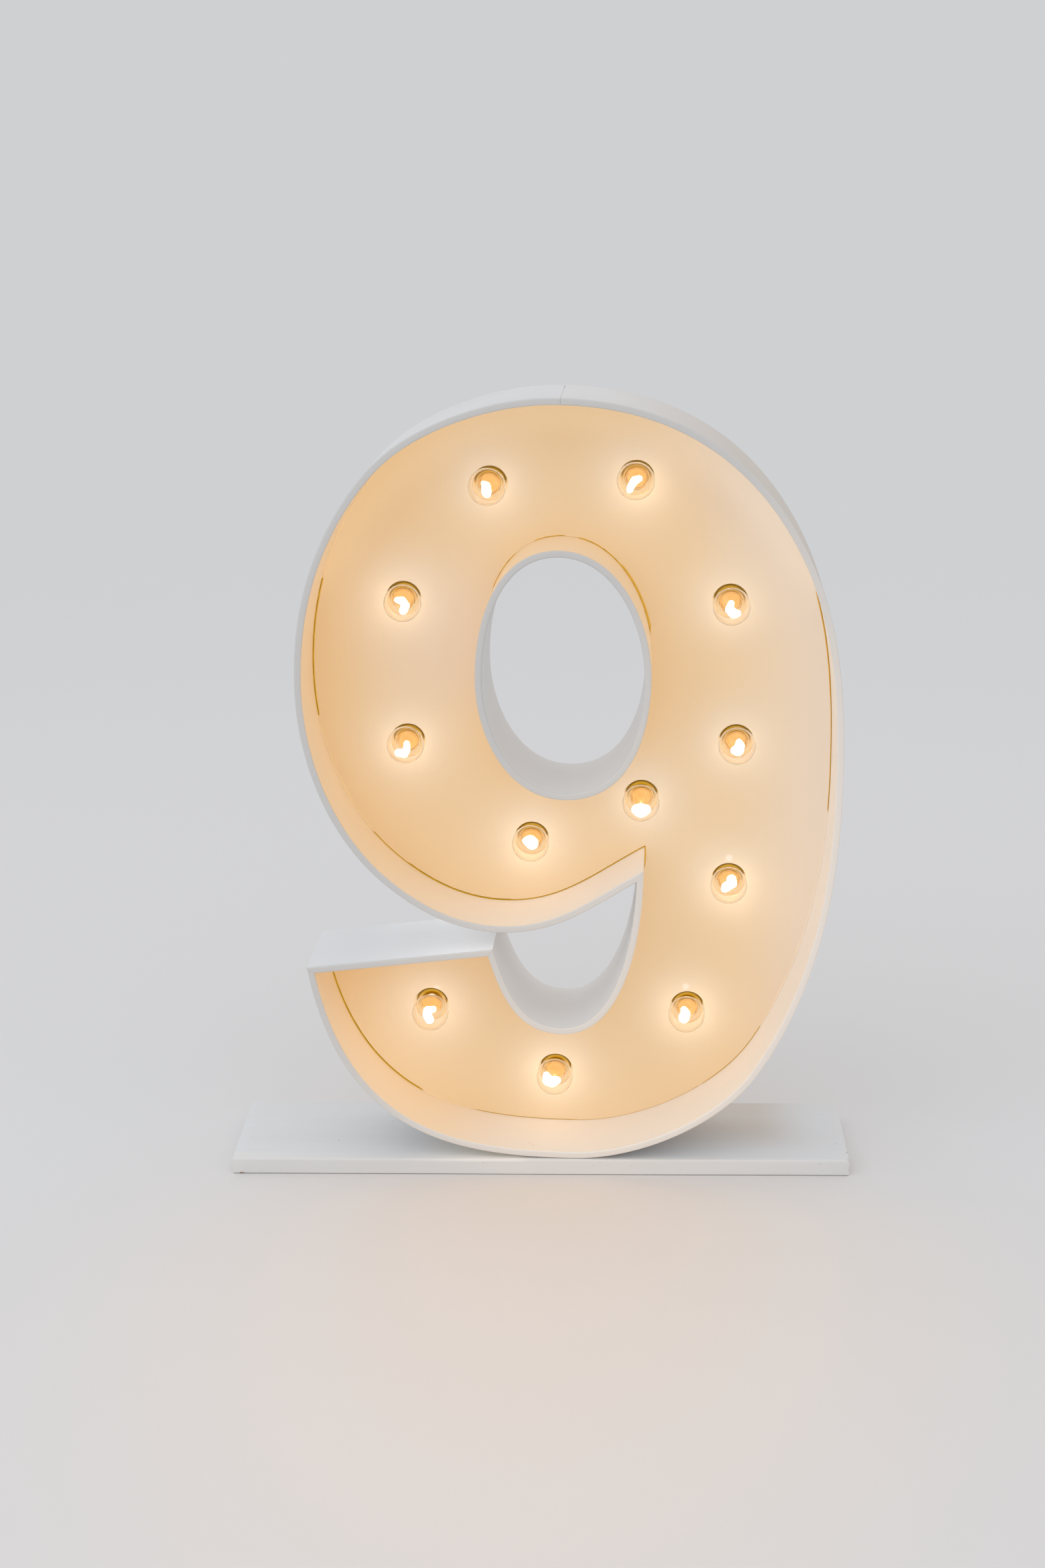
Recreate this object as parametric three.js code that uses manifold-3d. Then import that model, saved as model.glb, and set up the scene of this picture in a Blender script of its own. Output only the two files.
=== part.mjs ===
// A light up marquee number: a deep, open-fronted figure nine with twelve globe bulbs, on a plank.
// Millimetres, +Z up, front towards -Y. The origin is the middle of the plank's underside.
import * as THREE from 'three';
import { mergeVertices } from 'three/addons/utils/BufferGeometryUtils.js';
import Module from 'manifold-3d';

const wasm = await Module();
wasm.setup();

// Figure: overall size and the sheets that it is built of
const numberHeight = 914;
const numberWidth = 635;
const wallDepth = 143;
const wallThickness = 8;
const panelThickness = 5;
const panelGap = 1;
const rearBoardThickness = 6;
const rearBoardInset = 1;
const rearBoardGap = 0.6;
const lampSpace = 29;
const ledgeWidth = 12;
const seatGap = 0.3;
const cutOverrun = 2;

// Plank under the figure, which stands a little turned to it
const plankLength = 746;
const plankThickness = 19;
const plankEdgeRadius = 3;
const plankTurn = 1.5;
const numberSideShift = 39;
const numberFrontInset = 3;
const numberRearInset = 38;

// Bulb: a clear globe on a brass screw cap
const globeDiameter = 44.5;
const bulbLength = 76;
const neckInset = 0.4;
const neckLength = 6;
const throatFlare = 0.8;
const glassWall = 1;
const capDiameter = 26;
const capLength = 24;
const capCrimp = 1.5;
const contactDiameter = 9;
const contactHeight = 3;

// Lampholder on the rear board
const lampholderWall = 5.1;
const lampholderFloor = 7.4;
const lampholderLip = 4;
const lampholderRunningGap = 0.4;
const bulbHoleMargin = 2.25;
const flangeWidth = 4;
const flangeThickness = 4;

// Wiring along the rear board
const cableDiameter = 5;
const cableClearance = 1.5;

// Screws and angle brackets
const plankScrewDiameter = 4;
const plankScrewHeadDiameter = 8;
const plankScrewHeadHeight = 3;
const plankScrewSpacing = 76;
const plankScrewBite = 9;
const bracketLeg = 34;
const bracketWidth = 20;
const bracketThickness = 2.5;
const bracketScrewDiameter = 3.5;
const bracketScrewHeadDiameter = 7;
const bracketScrewHeadHeight = 2;
const bracketScrewBite = 11;
const boardScrewBite = 4.5;
const bracketSpacingShare = 0.23;
const boardScrewShare = 0.7;
const footScrewShare = 0.6;

// Mains inlet and rocker switch in the rear board
const inletWidth = 27;
const inletHeight = 17;
const inletFlange = 3;
const inletDepth = 17;
const inletWall = 2;
const inletRecess = 13;
const inletPinDiameter = 2.4;
const inletPinLength = 8;
const inletPinSpacing = 8.6;
const switchWidth = 15;
const switchHeight = 21;
const switchFlange = 2;
const switchFlangeThickness = 1.5;
const switchDepth = 14;
const switchWall = 1.5;
const rockerGap = 0.4;
const rockerTravel = 14;
const rockerBody = 6;
const trunnionDiameter = 2.4;
const trunnionLength = 1.1;

// How finely curves are stepped
const outerSteps = 108;
const gapSteps = 26;
const counterSteps = 44;
const holeSteps = 10;
const lampSides = 12;
const globeSteps = 5;
const plankEdgeSteps = 4;
const screwSides = 10;
const cableHalfSides = 4;
const cableSteps = 60;

// Derived places. Depths run back from the front rim.
const channelWidth = numberWidth - 2 * wallThickness;
const channelHeight = numberHeight - 2 * wallThickness;
const numberFoot = plankThickness + seatGap;
const plankDepth = numberFrontInset + wallDepth + numberRearInset;
const frontY = -plankDepth / 2 + numberFrontInset;
const rearBoardBack = wallDepth - rearBoardInset;
const rearBoardFront = rearBoardBack - rearBoardThickness;
const panelBack = rearBoardFront - lampSpace;
const panelFront = panelBack - panelThickness;
const bulbEnd = rearBoardFront - lampholderFloor;
const globeCentreFromEnd = bulbLength - globeDiameter / 2;
const neckDiameter = capDiameter - 2 * neckInset;
const boreFlat = capDiameter / 2 + lampholderRunningGap;
const lampholderBore = boreFlat / Math.cos(Math.PI / lampSides);
const lampholderRadius = lampholderBore + lampholderWall;
const bulbHoleDiameter = 2 * (lampholderRadius + bulbHoleMargin);
const flangeRadius = lampholderRadius + flangeWidth;

// Channel outline, as cubic curves [handle, handle, end] in shares of the channel's width
// from its middle and of its height from its foot. The tail's lower corner comes first.
const tailCornerShare = [-0.491, 0.25];
const outerCurveShares = [
  [[-0.473, 0.183], [-0.436, 0.116], [-0.36, 0.069]],
  [[-0.27, 0.012], [-0.136, 0], [0.013, 0]],
  [[0.126, 0], [0.288, 0.047], [0.358, 0.125]],
  [[0.469, 0.247], [0.5, 0.383], [0.5, 0.527]],
  [[0.5, 0.65], [0.488, 0.76], [0.381, 0.864]],
  [[0.281, 0.959], [0.139, 1], [-0.03, 1]],
  [[-0.148, 1], [-0.291, 0.964], [-0.359, 0.911]],
  [[-0.455, 0.837], [-0.5, 0.743], [-0.5, 0.641]],
  [[-0.5, 0.542], [-0.445, 0.444], [-0.35, 0.385]],
  [[-0.289, 0.347], [-0.215, 0.318], [-0.124, 0.318]],
  [[-0.016, 0.318], [0.047, 0.359], [0.141, 0.395]],
];
const crotchShare = [0.141, 0.395];
const gapCurveShares = [
  [[0.142, 0.306], [0.105, 0.168], [-0.012, 0.168]],
  [[-0.102, 0.168], [-0.132, 0.221], [-0.156, 0.276]],
];
const tailTipShare = [-0.156, 0.276];
const counterTopShare = [-0.018, 0.817];
const counterCurveShares = [
  [[0.094, 0.817], [0.155, 0.726], [0.155, 0.653]],
  [[0.155, 0.576], [0.114, 0.49], [-0.004, 0.49]],
  [[-0.117, 0.49], [-0.174, 0.576], [-0.174, 0.649]],
  [[-0.174, 0.729], [-0.131, 0.817], [-0.018, 0.817]],
];
// Where the outer wall is joined, in shares of its length from the tail's corner
const bottomSeamShare = 0.136;
const sideSeamShare = 0.33;
const topSeamShare = 0.606;
// Bulb axes, in the same shares, from the top down
const bulbShares = [
  [-0.153, 0.886], [0.124, 0.893], [-0.321, 0.734], [0.303, 0.731], [-0.318, 0.541],
  [0.317, 0.542], [0.135, 0.465], [-0.079, 0.406], [0.306, 0.35], [-0.282, 0.168],
  [0.227, 0.167], [-0.035, 0.074],
];
// Which lampholder the cable meets next, counted as above, and the side that it passes on
const cableOrder = [9, 11, 10, 8, 5, 3, 1, 0, 2, 4, 7, 6];
// Inlet and switch, on the board's broad lower right
const inletShare = [0.13, 0.075];
const switchShare = [0.3, 0.2];

const finishes = {
  wall: { color: 0xd9dbdb, roughness: 0.55, metalness: 0 },
  panel: { color: 0xefcfa4, roughness: 0.5, metalness: 0 },
  plank: { color: 0xdedcd8, roughness: 0.6, metalness: 0 },
  board: { color: 0xc6a983, roughness: 0.8, metalness: 0 },
  timber: { color: 0xc9a877, roughness: 0.8, metalness: 0 },
  glass: { color: 0xffd9a0, roughness: 0.05, metalness: 0, transparent: true, opacity: 0.5 },
  brass: { color: 0xb8904a, roughness: 0.35, metalness: 1 },
  lampholder: { color: 0x33281f, roughness: 0.35, metalness: 0 },
  zinc: { color: 0xa9abad, roughness: 0.35, metalness: 1 },
  blackPlastic: { color: 0x1d1d1e, roughness: 0.45, metalness: 0 },
  cable: { color: 0x2b2825, roughness: 0.6, metalness: 0 },
};

const marqueeNumber = new THREE.Group();
marqueeNumber.name = 'marquee_number';

// Helpers

function addPart(name, geometry, finish) {
  const mesh = new THREE.Mesh(geometry, new THREE.MeshStandardMaterial(finishes[finish]));
  mesh.name = name;
  marqueeNumber.add(mesh);
}

function numberX(share) {
  return numberSideShift + share * channelWidth;
}

function numberZ(share) {
  return numberFoot + wallThickness + share * channelHeight;
}

function pointAt([xShare, zShare]) {
  return new THREE.Vector2(numberX(xShare), numberZ(zShare));
}

function toManifold(geometry) {
  const bare = geometry.clone();
  bare.deleteAttribute('normal');
  bare.deleteAttribute('uv');
  const merged = mergeVertices(bare);
  return new wasm.Manifold(new wasm.Mesh({
    numProp: 3,
    vertProperties: new Float32Array(merged.attributes.position.array),
    triVerts: new Uint32Array(merged.index.array),
  }));
}

function toGeometry(solid) {
  const mesh = solid.getMesh();
  const geometry = new THREE.BufferGeometry();
  geometry.setAttribute('position', new THREE.BufferAttribute(mesh.vertProperties, 3));
  geometry.setIndex(new THREE.BufferAttribute(mesh.triVerts, 1));
  geometry.computeVertexNormals();
  return geometry;
}

function cutBy(geometry, cutters) {
  let solid = toManifold(geometry);
  for (const cutter of cutters) solid = solid.subtract(toManifold(cutter));
  return toGeometry(solid);
}

function joined(geometry, others) {
  let solid = toManifold(geometry);
  for (const other of others) solid = solid.add(toManifold(other));
  return toGeometry(solid);
}

// A sheet drawn in X and Z, lying between two depths behind the front rim
function sheet(shape, fromDepth, toDepth, curveSegments) {
  const geometry = new THREE.ExtrudeGeometry(shape, {
    depth: toDepth - fromDepth, bevelEnabled: false, curveSegments,
  });
  geometry.rotateX(Math.PI / 2);
  return geometry.translate(0, frontY + toDepth, 0);
}

// A turned piece whose axis runs along Y. Its profile is [radius, depth], and the outer side
// runs towards the back.
function turned(profile, x, z, sides) {
  const points = profile.map(([radius, depth]) => new THREE.Vector2(radius, depth));
  return new THREE.LatheGeometry(points, sides).translate(x, frontY, z);
}

// A round rod between two points
function rod(from, to, diameter, sides) {
  const along = to.clone().sub(from);
  const geometry = new THREE.CylinderGeometry(diameter / 2, diameter / 2, along.length(), sides);
  const turn = new THREE.Quaternion();
  turn.setFromUnitVectors(new THREE.Vector3(0, 1, 0), along.clone().normalize());
  geometry.applyQuaternion(turn);
  const middle = from.clone().add(to).divideScalar(2);
  return geometry.translate(middle.x, middle.y, middle.z);
}

function block(fromX, toX, fromY, toY, fromZ, toZ) {
  const geometry = new THREE.BoxGeometry(toX - fromX, toY - fromY, toZ - fromZ);
  return geometry.translate((fromX + toX) / 2, (fromY + toY) / 2, (fromZ + toZ) / 2);
}

// Outlines

function curvePath(startShare, rows) {
  const path = new THREE.CurvePath();
  let start = pointAt(startShare);
  for (const row of rows) {
    const [handleOne, handleTwo, end] = row.map(pointAt);
    path.add(new THREE.CubicBezierCurve(start, handleOne, handleTwo, end));
    start = end;
  }
  return path;
}

function straightPath(from, to) {
  const path = new THREE.CurvePath();
  path.add(new THREE.LineCurve(from, to));
  return path;
}

const tailCorner = pointAt(tailCornerShare);
const crotch = pointAt(crotchShare);
const tailTip = pointAt(tailTipShare);
const outerPath = curvePath(tailCornerShare, outerCurveShares);
const gapPath = curvePath(crotchShare, gapCurveShares);
const endPath = straightPath(tailTip, tailCorner);
const counterPath = curvePath(counterTopShare, counterCurveShares);

// Away from the channel, to the right of the way along each path
function awayFrom(tangent) {
  return new THREE.Vector2(tangent.y, -tangent.x);
}

// Even stations along a path. All that follows the outer wall uses the wall's own stations,
// so that its flats lie along the wall's flats.
function stations(from, to, steps) {
  return Array.from({ length: steps + 1 }, (_, step) => from + (to - from) * step / steps);
}

function outerStations(from, to) {
  return stations(from, to, Math.round(outerSteps * (to - from)));
}

const wholeOuterStations = [
  ...outerStations(0, bottomSeamShare), ...outerStations(bottomSeamShare, sideSeamShare).slice(1),
  ...outerStations(sideSeamShare, topSeamShare).slice(1), ...outerStations(topSeamShare, 1).slice(1),
];
const gapStations = stations(0, 1, gapSteps);
const counterStations = stations(0, 1, counterSteps);
const endStations = stations(0, 1, 1);

// Points of a path, moved away from the channel by an offset
function offsetPoints(path, places, offset) {
  return places.map((at) => path.getPoint(at).addScaledVector(awayFrom(path.getTangent(at)), offset));
}

// A line across the wall at a corner or seam, which ends the wall on either side of it
function mitre(corner, arriving, leaving) {
  const along = awayFrom(arriving).add(awayFrom(leaving)).normalize();
  return { corner, along };
}

function seam(path, at) {
  return mitre(path.getPoint(at), path.getTangent(at), path.getTangent(at));
}

const cornerMitres = {
  tailCorner: mitre(tailCorner, endPath.getTangent(1), outerPath.getTangent(0)),
  crotch: mitre(crotch, outerPath.getTangent(1), gapPath.getTangent(0)),
  tailTip: mitre(tailTip, gapPath.getTangent(1), endPath.getTangent(0)),
};

function crossAt(line, from, to, origin) {
  const step = to.clone().sub(from);
  const gap = origin.clone().sub(from);
  const share = line.along.cross(gap) / line.along.cross(step);
  return from.clone().addScaledVector(step, share);
}

// Ends a row of points on a mitre line, short of it by the setback. Points past the line are
// dropped, and a row that stops before the line is drawn on to it.
function endOn(points, line, setback) {
  const kept = points.slice();
  const outward = kept.at(-1).clone().sub(kept.at(-2));
  const side = Math.sign(line.along.cross(outward));
  const across = new THREE.Vector2(-line.along.y, line.along.x);
  const origin = line.corner.clone().addScaledVector(across, -side * setback);
  const isPast = (point) => side * line.along.cross(point.clone().sub(origin)) > 0;
  let last = kept.pop();
  while (isPast(last) && isPast(kept.at(-1))) last = kept.pop();
  kept.push(crossAt(line, kept.at(-1), last, origin));
  return kept;
}

function trimmed(points, startLine, endLine, setback) {
  const ended = endOn(points, endLine, setback);
  return endOn(ended.reverse(), startLine, setback).reverse();
}

// The channel's closed outline, moved away from the channel by an offset
function channelOutline(offset) {
  const { tailCorner: tail, crotch: fork, tailTip: tip } = cornerMitres;
  const outer = trimmed(offsetPoints(outerPath, wholeOuterStations, offset), tail, fork, 0);
  const gap = trimmed(offsetPoints(gapPath, gapStations, offset), fork, tip, 0);
  return [...outer, ...gap.slice(1)];
}

function counterOutline(offset) {
  return offsetPoints(counterPath, counterStations, offset).slice(0, -1);
}

// A shape whose outline runs anticlockwise, with its holes
function shapeOf(outline, holes) {
  const shape = new THREE.Shape(THREE.ShapeUtils.isClockWise(outline) ? outline.reverse() : outline);
  shape.holes.push(...holes);
  return shape;
}

function circle(x, z, diameter) {
  const path = new THREE.Path();
  path.absarc(x, z, diameter / 2, 0, 2 * Math.PI, false);
  return path;
}

function rectangle(x, z, width, height) {
  return new THREE.Path([
    new THREE.Vector2(x - width / 2, z - height / 2), new THREE.Vector2(x - width / 2, z + height / 2),
    new THREE.Vector2(x + width / 2, z + height / 2), new THREE.Vector2(x + width / 2, z - height / 2),
  ]);
}

// Walls

function wallStrip(path, places, startLine, endLine) {
  const inner = trimmed(offsetPoints(path, places, 0), startLine, endLine, seatGap / 2);
  const outer = trimmed(offsetPoints(path, places, wallThickness), startLine, endLine, seatGap / 2);
  return shapeOf([...inner, ...outer.reverse()], []);
}

function addWall(name, strip, cutters) {
  const wall = sheet(strip, 0, wallDepth);
  addPart(name, cutters ? cutBy(wall, cutters) : wall, 'wall');
}

function addWalls() {
  const { tailCorner: tail, crotch: fork, tailTip: tip } = cornerMitres;
  const bottom = seam(outerPath, bottomSeamShare);
  const side = seam(outerPath, sideSeamShare);
  const top = seam(outerPath, topSeamShare);
  const footStations = outerStations(bottomSeamShare, sideSeamShare);
  const rightStations = outerStations(sideSeamShare, topSeamShare);
  addWall('tail_wall', wallStrip(outerPath, outerStations(0, bottomSeamShare), tail, bottom));
  addWall('outer_wall_foot', wallStrip(outerPath, footStations, bottom, side), plankScrewHoles());
  addWall('outer_wall_right', wallStrip(outerPath, rightStations, side, top));
  addWall('outer_wall_left', wallStrip(outerPath, outerStations(topSeamShare, 1), top, fork));
  addWall('gap_wall', wallStrip(gapPath, gapStations, fork, tip));
  addWall('tail_end_wall', wallStrip(endPath, endStations, tip, tail));
  const hole = new THREE.Path(counterOutline(wallThickness));
  addWall('counter_wall', shapeOf(counterOutline(0), [hole]));
}

// Sheets and the ledges between them

function addFacePanel() {
  const bulbHoles = bulbShares.map(([xShare, zShare]) => (
    circle(numberX(xShare), numberZ(zShare), bulbHoleDiameter)));
  const counter = new THREE.Path(counterOutline(-panelGap));
  const shape = shapeOf(channelOutline(-panelGap), [counter, ...bulbHoles]);
  addPart('face_panel', sheet(shape, panelFront, panelBack, holeSteps), 'panel');
}

function addRearBoard() {
  const counter = new THREE.Path(counterOutline(-rearBoardGap));
  const inlet = rectangle(numberX(inletShare[0]), numberZ(inletShare[1]),
    inletWidth + 2 * seatGap, inletHeight + 2 * seatGap);
  const rocker = rectangle(numberX(switchShare[0]), numberZ(switchShare[1]),
    switchWidth + 2 * seatGap, switchHeight + 2 * seatGap);
  const board = sheet(shapeOf(channelOutline(-rearBoardGap), [counter, inlet, rocker]),
    rearBoardFront, rearBoardBack);
  addPart('rear_board', cutBy(board, bracketScrewHoles()), 'board');
}

function addLedges() {
  const near = -seatGap;
  const far = -seatGap - ledgeWidth;
  const from = panelBack + seatGap;
  const to = rearBoardFront - seatGap;
  const outer = shapeOf(channelOutline(near), [new THREE.Path(channelOutline(far))]);
  addPart('outer_ledge', cutBy(sheet(outer, from, to), plankScrewHoles()), 'timber');
  const counter = shapeOf(counterOutline(far), [new THREE.Path(counterOutline(near))]);
  addPart('counter_ledge', sheet(counter, from, to), 'timber');
}

// Plank and the screws that hold the figure to it

function plankProfile() {
  const halfDepth = plankDepth / 2;
  const r = plankEdgeRadius;
  const shape = new THREE.Shape();
  shape.moveTo(-halfDepth, 0);
  shape.lineTo(halfDepth, 0);
  shape.lineTo(halfDepth, plankThickness - r);
  shape.absarc(halfDepth - r, plankThickness - r, r, 0, Math.PI / 2, false);
  shape.absarc(r - halfDepth, plankThickness - r, r, Math.PI / 2, Math.PI, false);
  return shape;
}

function addPlank() {
  const geometry = new THREE.ExtrudeGeometry(plankProfile(), {
    depth: plankLength, bevelEnabled: false, curveSegments: plankEdgeSteps,
  });
  geometry.rotateX(Math.PI / 2).rotateZ(Math.PI / 2).translate(-plankLength / 2, 0, 0);
  geometry.rotateZ(THREE.MathUtils.degToRad(plankTurn));
  addPart('base_plank', cutBy(geometry, [...plankScrewHoles(), ...bracketFootHoles()]), 'plank');
}

const footX = numberX(outerCurveShares[1][2][0]);
const plankScrewY = frontY + (panelBack + rearBoardFront) / 2;
const plankScrewTop = numberFoot + wallThickness + plankScrewBite;

function plankScrewPlaces() {
  return [footX - plankScrewSpacing / 2, footX + plankScrewSpacing / 2];
}

// A countersunk screw standing upright with its head in the plank's underside
function plankScrew(x, clearance) {
  const shank = plankScrewDiameter / 2 + clearance;
  const head = plankScrewHeadDiameter / 2 + clearance;
  const foot = clearance > 0 ? -cutOverrun : seatGap;
  const profile = [
    [0, foot], [head, foot], [head, seatGap], [shank, seatGap + plankScrewHeadHeight],
    [shank, plankScrewTop + clearance], [0, plankScrewTop + clearance],
  ];
  const points = profile.map(([radius, height]) => new THREE.Vector2(radius, height));
  return new THREE.LatheGeometry(points, screwSides).rotateX(Math.PI / 2).translate(x, plankScrewY, 0);
}

function plankScrewHoles() {
  return plankScrewPlaces().map((x) => plankScrew(x, seatGap));
}

function addPlankScrews() {
  plankScrewPlaces().forEach((x, index) => {
    addPart(`plank_screw_${index + 1}`, plankScrew(x, 0), 'zinc');
  });
}

// Angle brackets behind the figure

const bracketFaceY = frontY + wallDepth + seatGap;
const bracketHoleHeight = plankThickness + seatGap + bracketLeg * boardScrewShare;
const bracketHoleReach = bracketFaceY + bracketLeg * footScrewShare;
const bracketSpacing = channelWidth * bracketSpacingShare;

function bracketPlaces() {
  return [footX - bracketSpacing / 2, footX + bracketSpacing / 2];
}

function boardScrew(x, clearance) {
  const shank = bracketScrewDiameter + 2 * clearance;
  const inner = frontY + rearBoardBack - boardScrewBite - clearance;
  const past = clearance > 0 ? cutOverrun : bracketScrewHeadHeight / 2;
  const outer = bracketFaceY + bracketThickness + seatGap + past;
  const from = new THREE.Vector3(x, inner, bracketHoleHeight);
  const to = new THREE.Vector3(x, outer, bracketHoleHeight);
  return rod(from, to, shank, screwSides);
}

function footScrew(x, clearance) {
  const shank = bracketScrewDiameter + 2 * clearance;
  const past = clearance > 0 ? cutOverrun : bracketScrewHeadHeight / 2;
  const bottom = plankThickness - bracketScrewBite - clearance;
  const top = plankThickness + seatGap + bracketThickness + seatGap + past;
  const from = new THREE.Vector3(x, bracketHoleReach, bottom);
  const to = new THREE.Vector3(x, bracketHoleReach, top);
  return rod(from, to, shank, screwSides);
}

function bracketScrewHoles() {
  return bracketPlaces().map((x) => boardScrew(x, seatGap));
}

function bracketFootHoles() {
  return bracketPlaces().map((x) => footScrew(x, seatGap));
}

function screwHead(place, direction) {
  const to = place.clone().addScaledVector(direction, bracketScrewHeadHeight);
  return rod(place, to, bracketScrewHeadDiameter, screwSides);
}

function addBrackets() {
  bracketPlaces().forEach((x, index) => {
    const side = index === 0 ? 'left' : 'right';
    const from = x - bracketWidth / 2;
    const to = x + bracketWidth / 2;
    const foot = plankThickness + seatGap;
    const upright = block(from, to, bracketFaceY, bracketFaceY + bracketThickness, foot, foot + bracketLeg);
    const tread = block(from, to, bracketFaceY, bracketFaceY + bracketLeg, foot, foot + bracketThickness);
    const plate = joined(upright, [tread]);
    addPart(`angle_bracket_${side}`, cutBy(plate, [boardScrew(x, seatGap), footScrew(x, seatGap)]), 'zinc');
    const boardHead = new THREE.Vector3(x, bracketFaceY + bracketThickness + seatGap, bracketHoleHeight);
    addPart(`board_screw_${side}`,
      joined(boardScrew(x, 0), [screwHead(boardHead, new THREE.Vector3(0, 1, 0))]), 'zinc');
    const footHead = new THREE.Vector3(x, bracketHoleReach, foot + bracketThickness + seatGap);
    addPart(`foot_screw_${side}`,
      joined(footScrew(x, 0), [screwHead(footHead, new THREE.Vector3(0, 0, 1))]), 'zinc');
  });
}

// Bulbs and lampholders

function globeArc(radius, fromRadius) {
  const centre = bulbEnd - globeCentreFromEnd;
  const start = Math.asin(fromRadius / radius);
  const points = [];
  for (let step = 0; step <= globeSteps; step += 1) {
    const angle = start + (Math.PI - start) * step / globeSteps;
    const across = step === globeSteps ? 0 : radius * Math.sin(angle);
    points.push([across, centre + radius * Math.cos(angle)]);
  }
  return points;
}

function glassProfile() {
  const neckEnd = bulbEnd - capLength - seatGap;
  const neck = neckDiameter / 2;
  const throat = neck + throatFlare;
  const outer = [
    [neck, neckEnd], [neck, neckEnd - neckLength], ...globeArc(globeDiameter / 2, throat),
  ];
  const inner = [
    [neck - glassWall, neckEnd], [neck - glassWall, neckEnd - neckLength],
    ...globeArc(globeDiameter / 2 - glassWall, throat - glassWall),
  ];
  return [...outer.reverse(), ...inner];
}

function capProfile() {
  const rim = capDiameter / 2;
  const front = bulbEnd - capLength;
  return [
    [0, front], [rim - capCrimp, front], [rim, front + capCrimp],
    [rim, bulbEnd - contactHeight - capCrimp], [contactDiameter / 2, bulbEnd - contactHeight],
    [contactDiameter / 2, bulbEnd], [0, bulbEnd],
  ];
}

function lampholderProfile() {
  const front = bulbEnd - capLength + lampholderLip;
  const back = rearBoardFront - seatGap;
  return [
    [0, bulbEnd + seatGap], [lampholderBore, bulbEnd + seatGap], [lampholderBore, front],
    [lampholderRadius, front], [lampholderRadius, back - flangeThickness],
    [flangeRadius, back - flangeThickness], [flangeRadius, back], [0, back],
  ];
}

function addLamps() {
  bulbShares.forEach(([xShare, zShare], index) => {
    const number = String(index + 1).padStart(2, '0');
    const x = numberX(xShare);
    const z = numberZ(zShare);
    addPart(`bulb_glass_${number}`, turned(glassProfile(), x, z, lampSides), 'glass');
    addPart(`bulb_cap_${number}`, turned(capProfile(), x, z, lampSides), 'brass');
    addPart(`lampholder_${number}`, turned(lampholderProfile(), x, z, lampSides), 'lampholder');
  });
}

// Wiring: one cable on the rear board, past every lampholder in turn

function cablePoints() {
  const reach = flangeRadius + cableDiameter / 2 + cableClearance;
  const lamps = cableOrder.map((index) => pointAt(bulbShares[index]));
  const y = frontY + rearBoardFront - seatGap - cableDiameter / 2;
  return lamps.map((lamp, index) => {
    const before = lamps[Math.max(index - 1, 0)];
    const after = lamps[Math.min(index + 1, lamps.length - 1)];
    const side = awayFrom(after.clone().sub(before).normalize()).negate();
    const place = lamp.clone().addScaledVector(side, reach);
    return new THREE.Vector3(place.x, y, place.y);
  });
}

function addWiring() {
  const route = new THREE.CatmullRomCurve3(cablePoints(), false, 'centripetal');
  const section = new THREE.Shape();
  section.absarc(0, 0, cableDiameter / 2, 0, 2 * Math.PI, false);
  const cable = new THREE.ExtrudeGeometry(section, {
    steps: cableSteps, extrudePath: route, curveSegments: cableHalfSides, bevelEnabled: false,
  });
  addPart('wiring_harness', cable, 'cable');
}

// Mains inlet

function addInlet() {
  const x = numberX(inletShare[0]);
  const z = numberZ(inletShare[1]);
  const back = frontY + rearBoardBack + seatGap;
  const lip = back + inletWall;
  const body = block(x - inletWidth / 2, x + inletWidth / 2, lip - inletDepth, lip,
    z - inletHeight / 2, z + inletHeight / 2);
  const flange = block(x - inletWidth / 2 - inletFlange, x + inletWidth / 2 + inletFlange, back, lip,
    z - inletHeight / 2 - inletFlange, z + inletHeight / 2 + inletFlange);
  const recess = block(x - inletWidth / 2 + inletWall, x + inletWidth / 2 - inletWall, lip - inletRecess,
    lip + cutOverrun, z - inletHeight / 2 + inletWall, z + inletHeight / 2 - inletWall);
  const shell = cutBy(joined(body, [flange]), [recess]);
  const pins = [-inletPinSpacing / 2, inletPinSpacing / 2].map((across) => rod(
    new THREE.Vector3(x + across, lip - inletRecess - inletWall / 2, z),
    new THREE.Vector3(x + across, lip - inletRecess + inletPinLength, z), inletPinDiameter, screwSides));
  addPart('power_inlet', joined(shell, pins), 'blackPlastic');
}

// Rocker switch: a bezel with a rocker on two trunnions

const switchX = numberX(switchShare[0]);
const switchZ = numberZ(switchShare[1]);
const switchBack = frontY + rearBoardBack + seatGap;
const switchLip = switchBack + switchFlangeThickness;
const rockerHalfHeight = switchHeight / 2 - switchWall - rockerGap;
const rockerHalfWidth = switchWidth / 2 - switchWall - rockerGap;
const rockerPivotY = switchLip - rockerBody / 2;

function trunnion(clearance) {
  const reach = rockerHalfWidth + trunnionLength + clearance;
  return rod(new THREE.Vector3(switchX - reach, rockerPivotY, switchZ),
    new THREE.Vector3(switchX + reach, rockerPivotY, switchZ), trunnionDiameter + 2 * clearance, screwSides);
}

function addBezel() {
  const halfWidth = switchWidth / 2;
  const halfHeight = switchHeight / 2;
  const body = block(switchX - halfWidth, switchX + halfWidth, switchLip - switchDepth, switchLip,
    switchZ - halfHeight, switchZ + halfHeight);
  const flange = block(switchX - halfWidth - switchFlange, switchX + halfWidth + switchFlange,
    switchBack, switchLip, switchZ - halfHeight - switchFlange, switchZ + halfHeight + switchFlange);
  const well = block(switchX - halfWidth + switchWall, switchX + halfWidth - switchWall,
    switchLip - switchDepth + switchWall, switchLip + cutOverrun,
    switchZ - halfHeight + switchWall, switchZ + halfHeight - switchWall);
  addPart('switch_bezel', cutBy(joined(body, [flange]), [well, trunnion(seatGap)]), 'blackPlastic');
}

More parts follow.
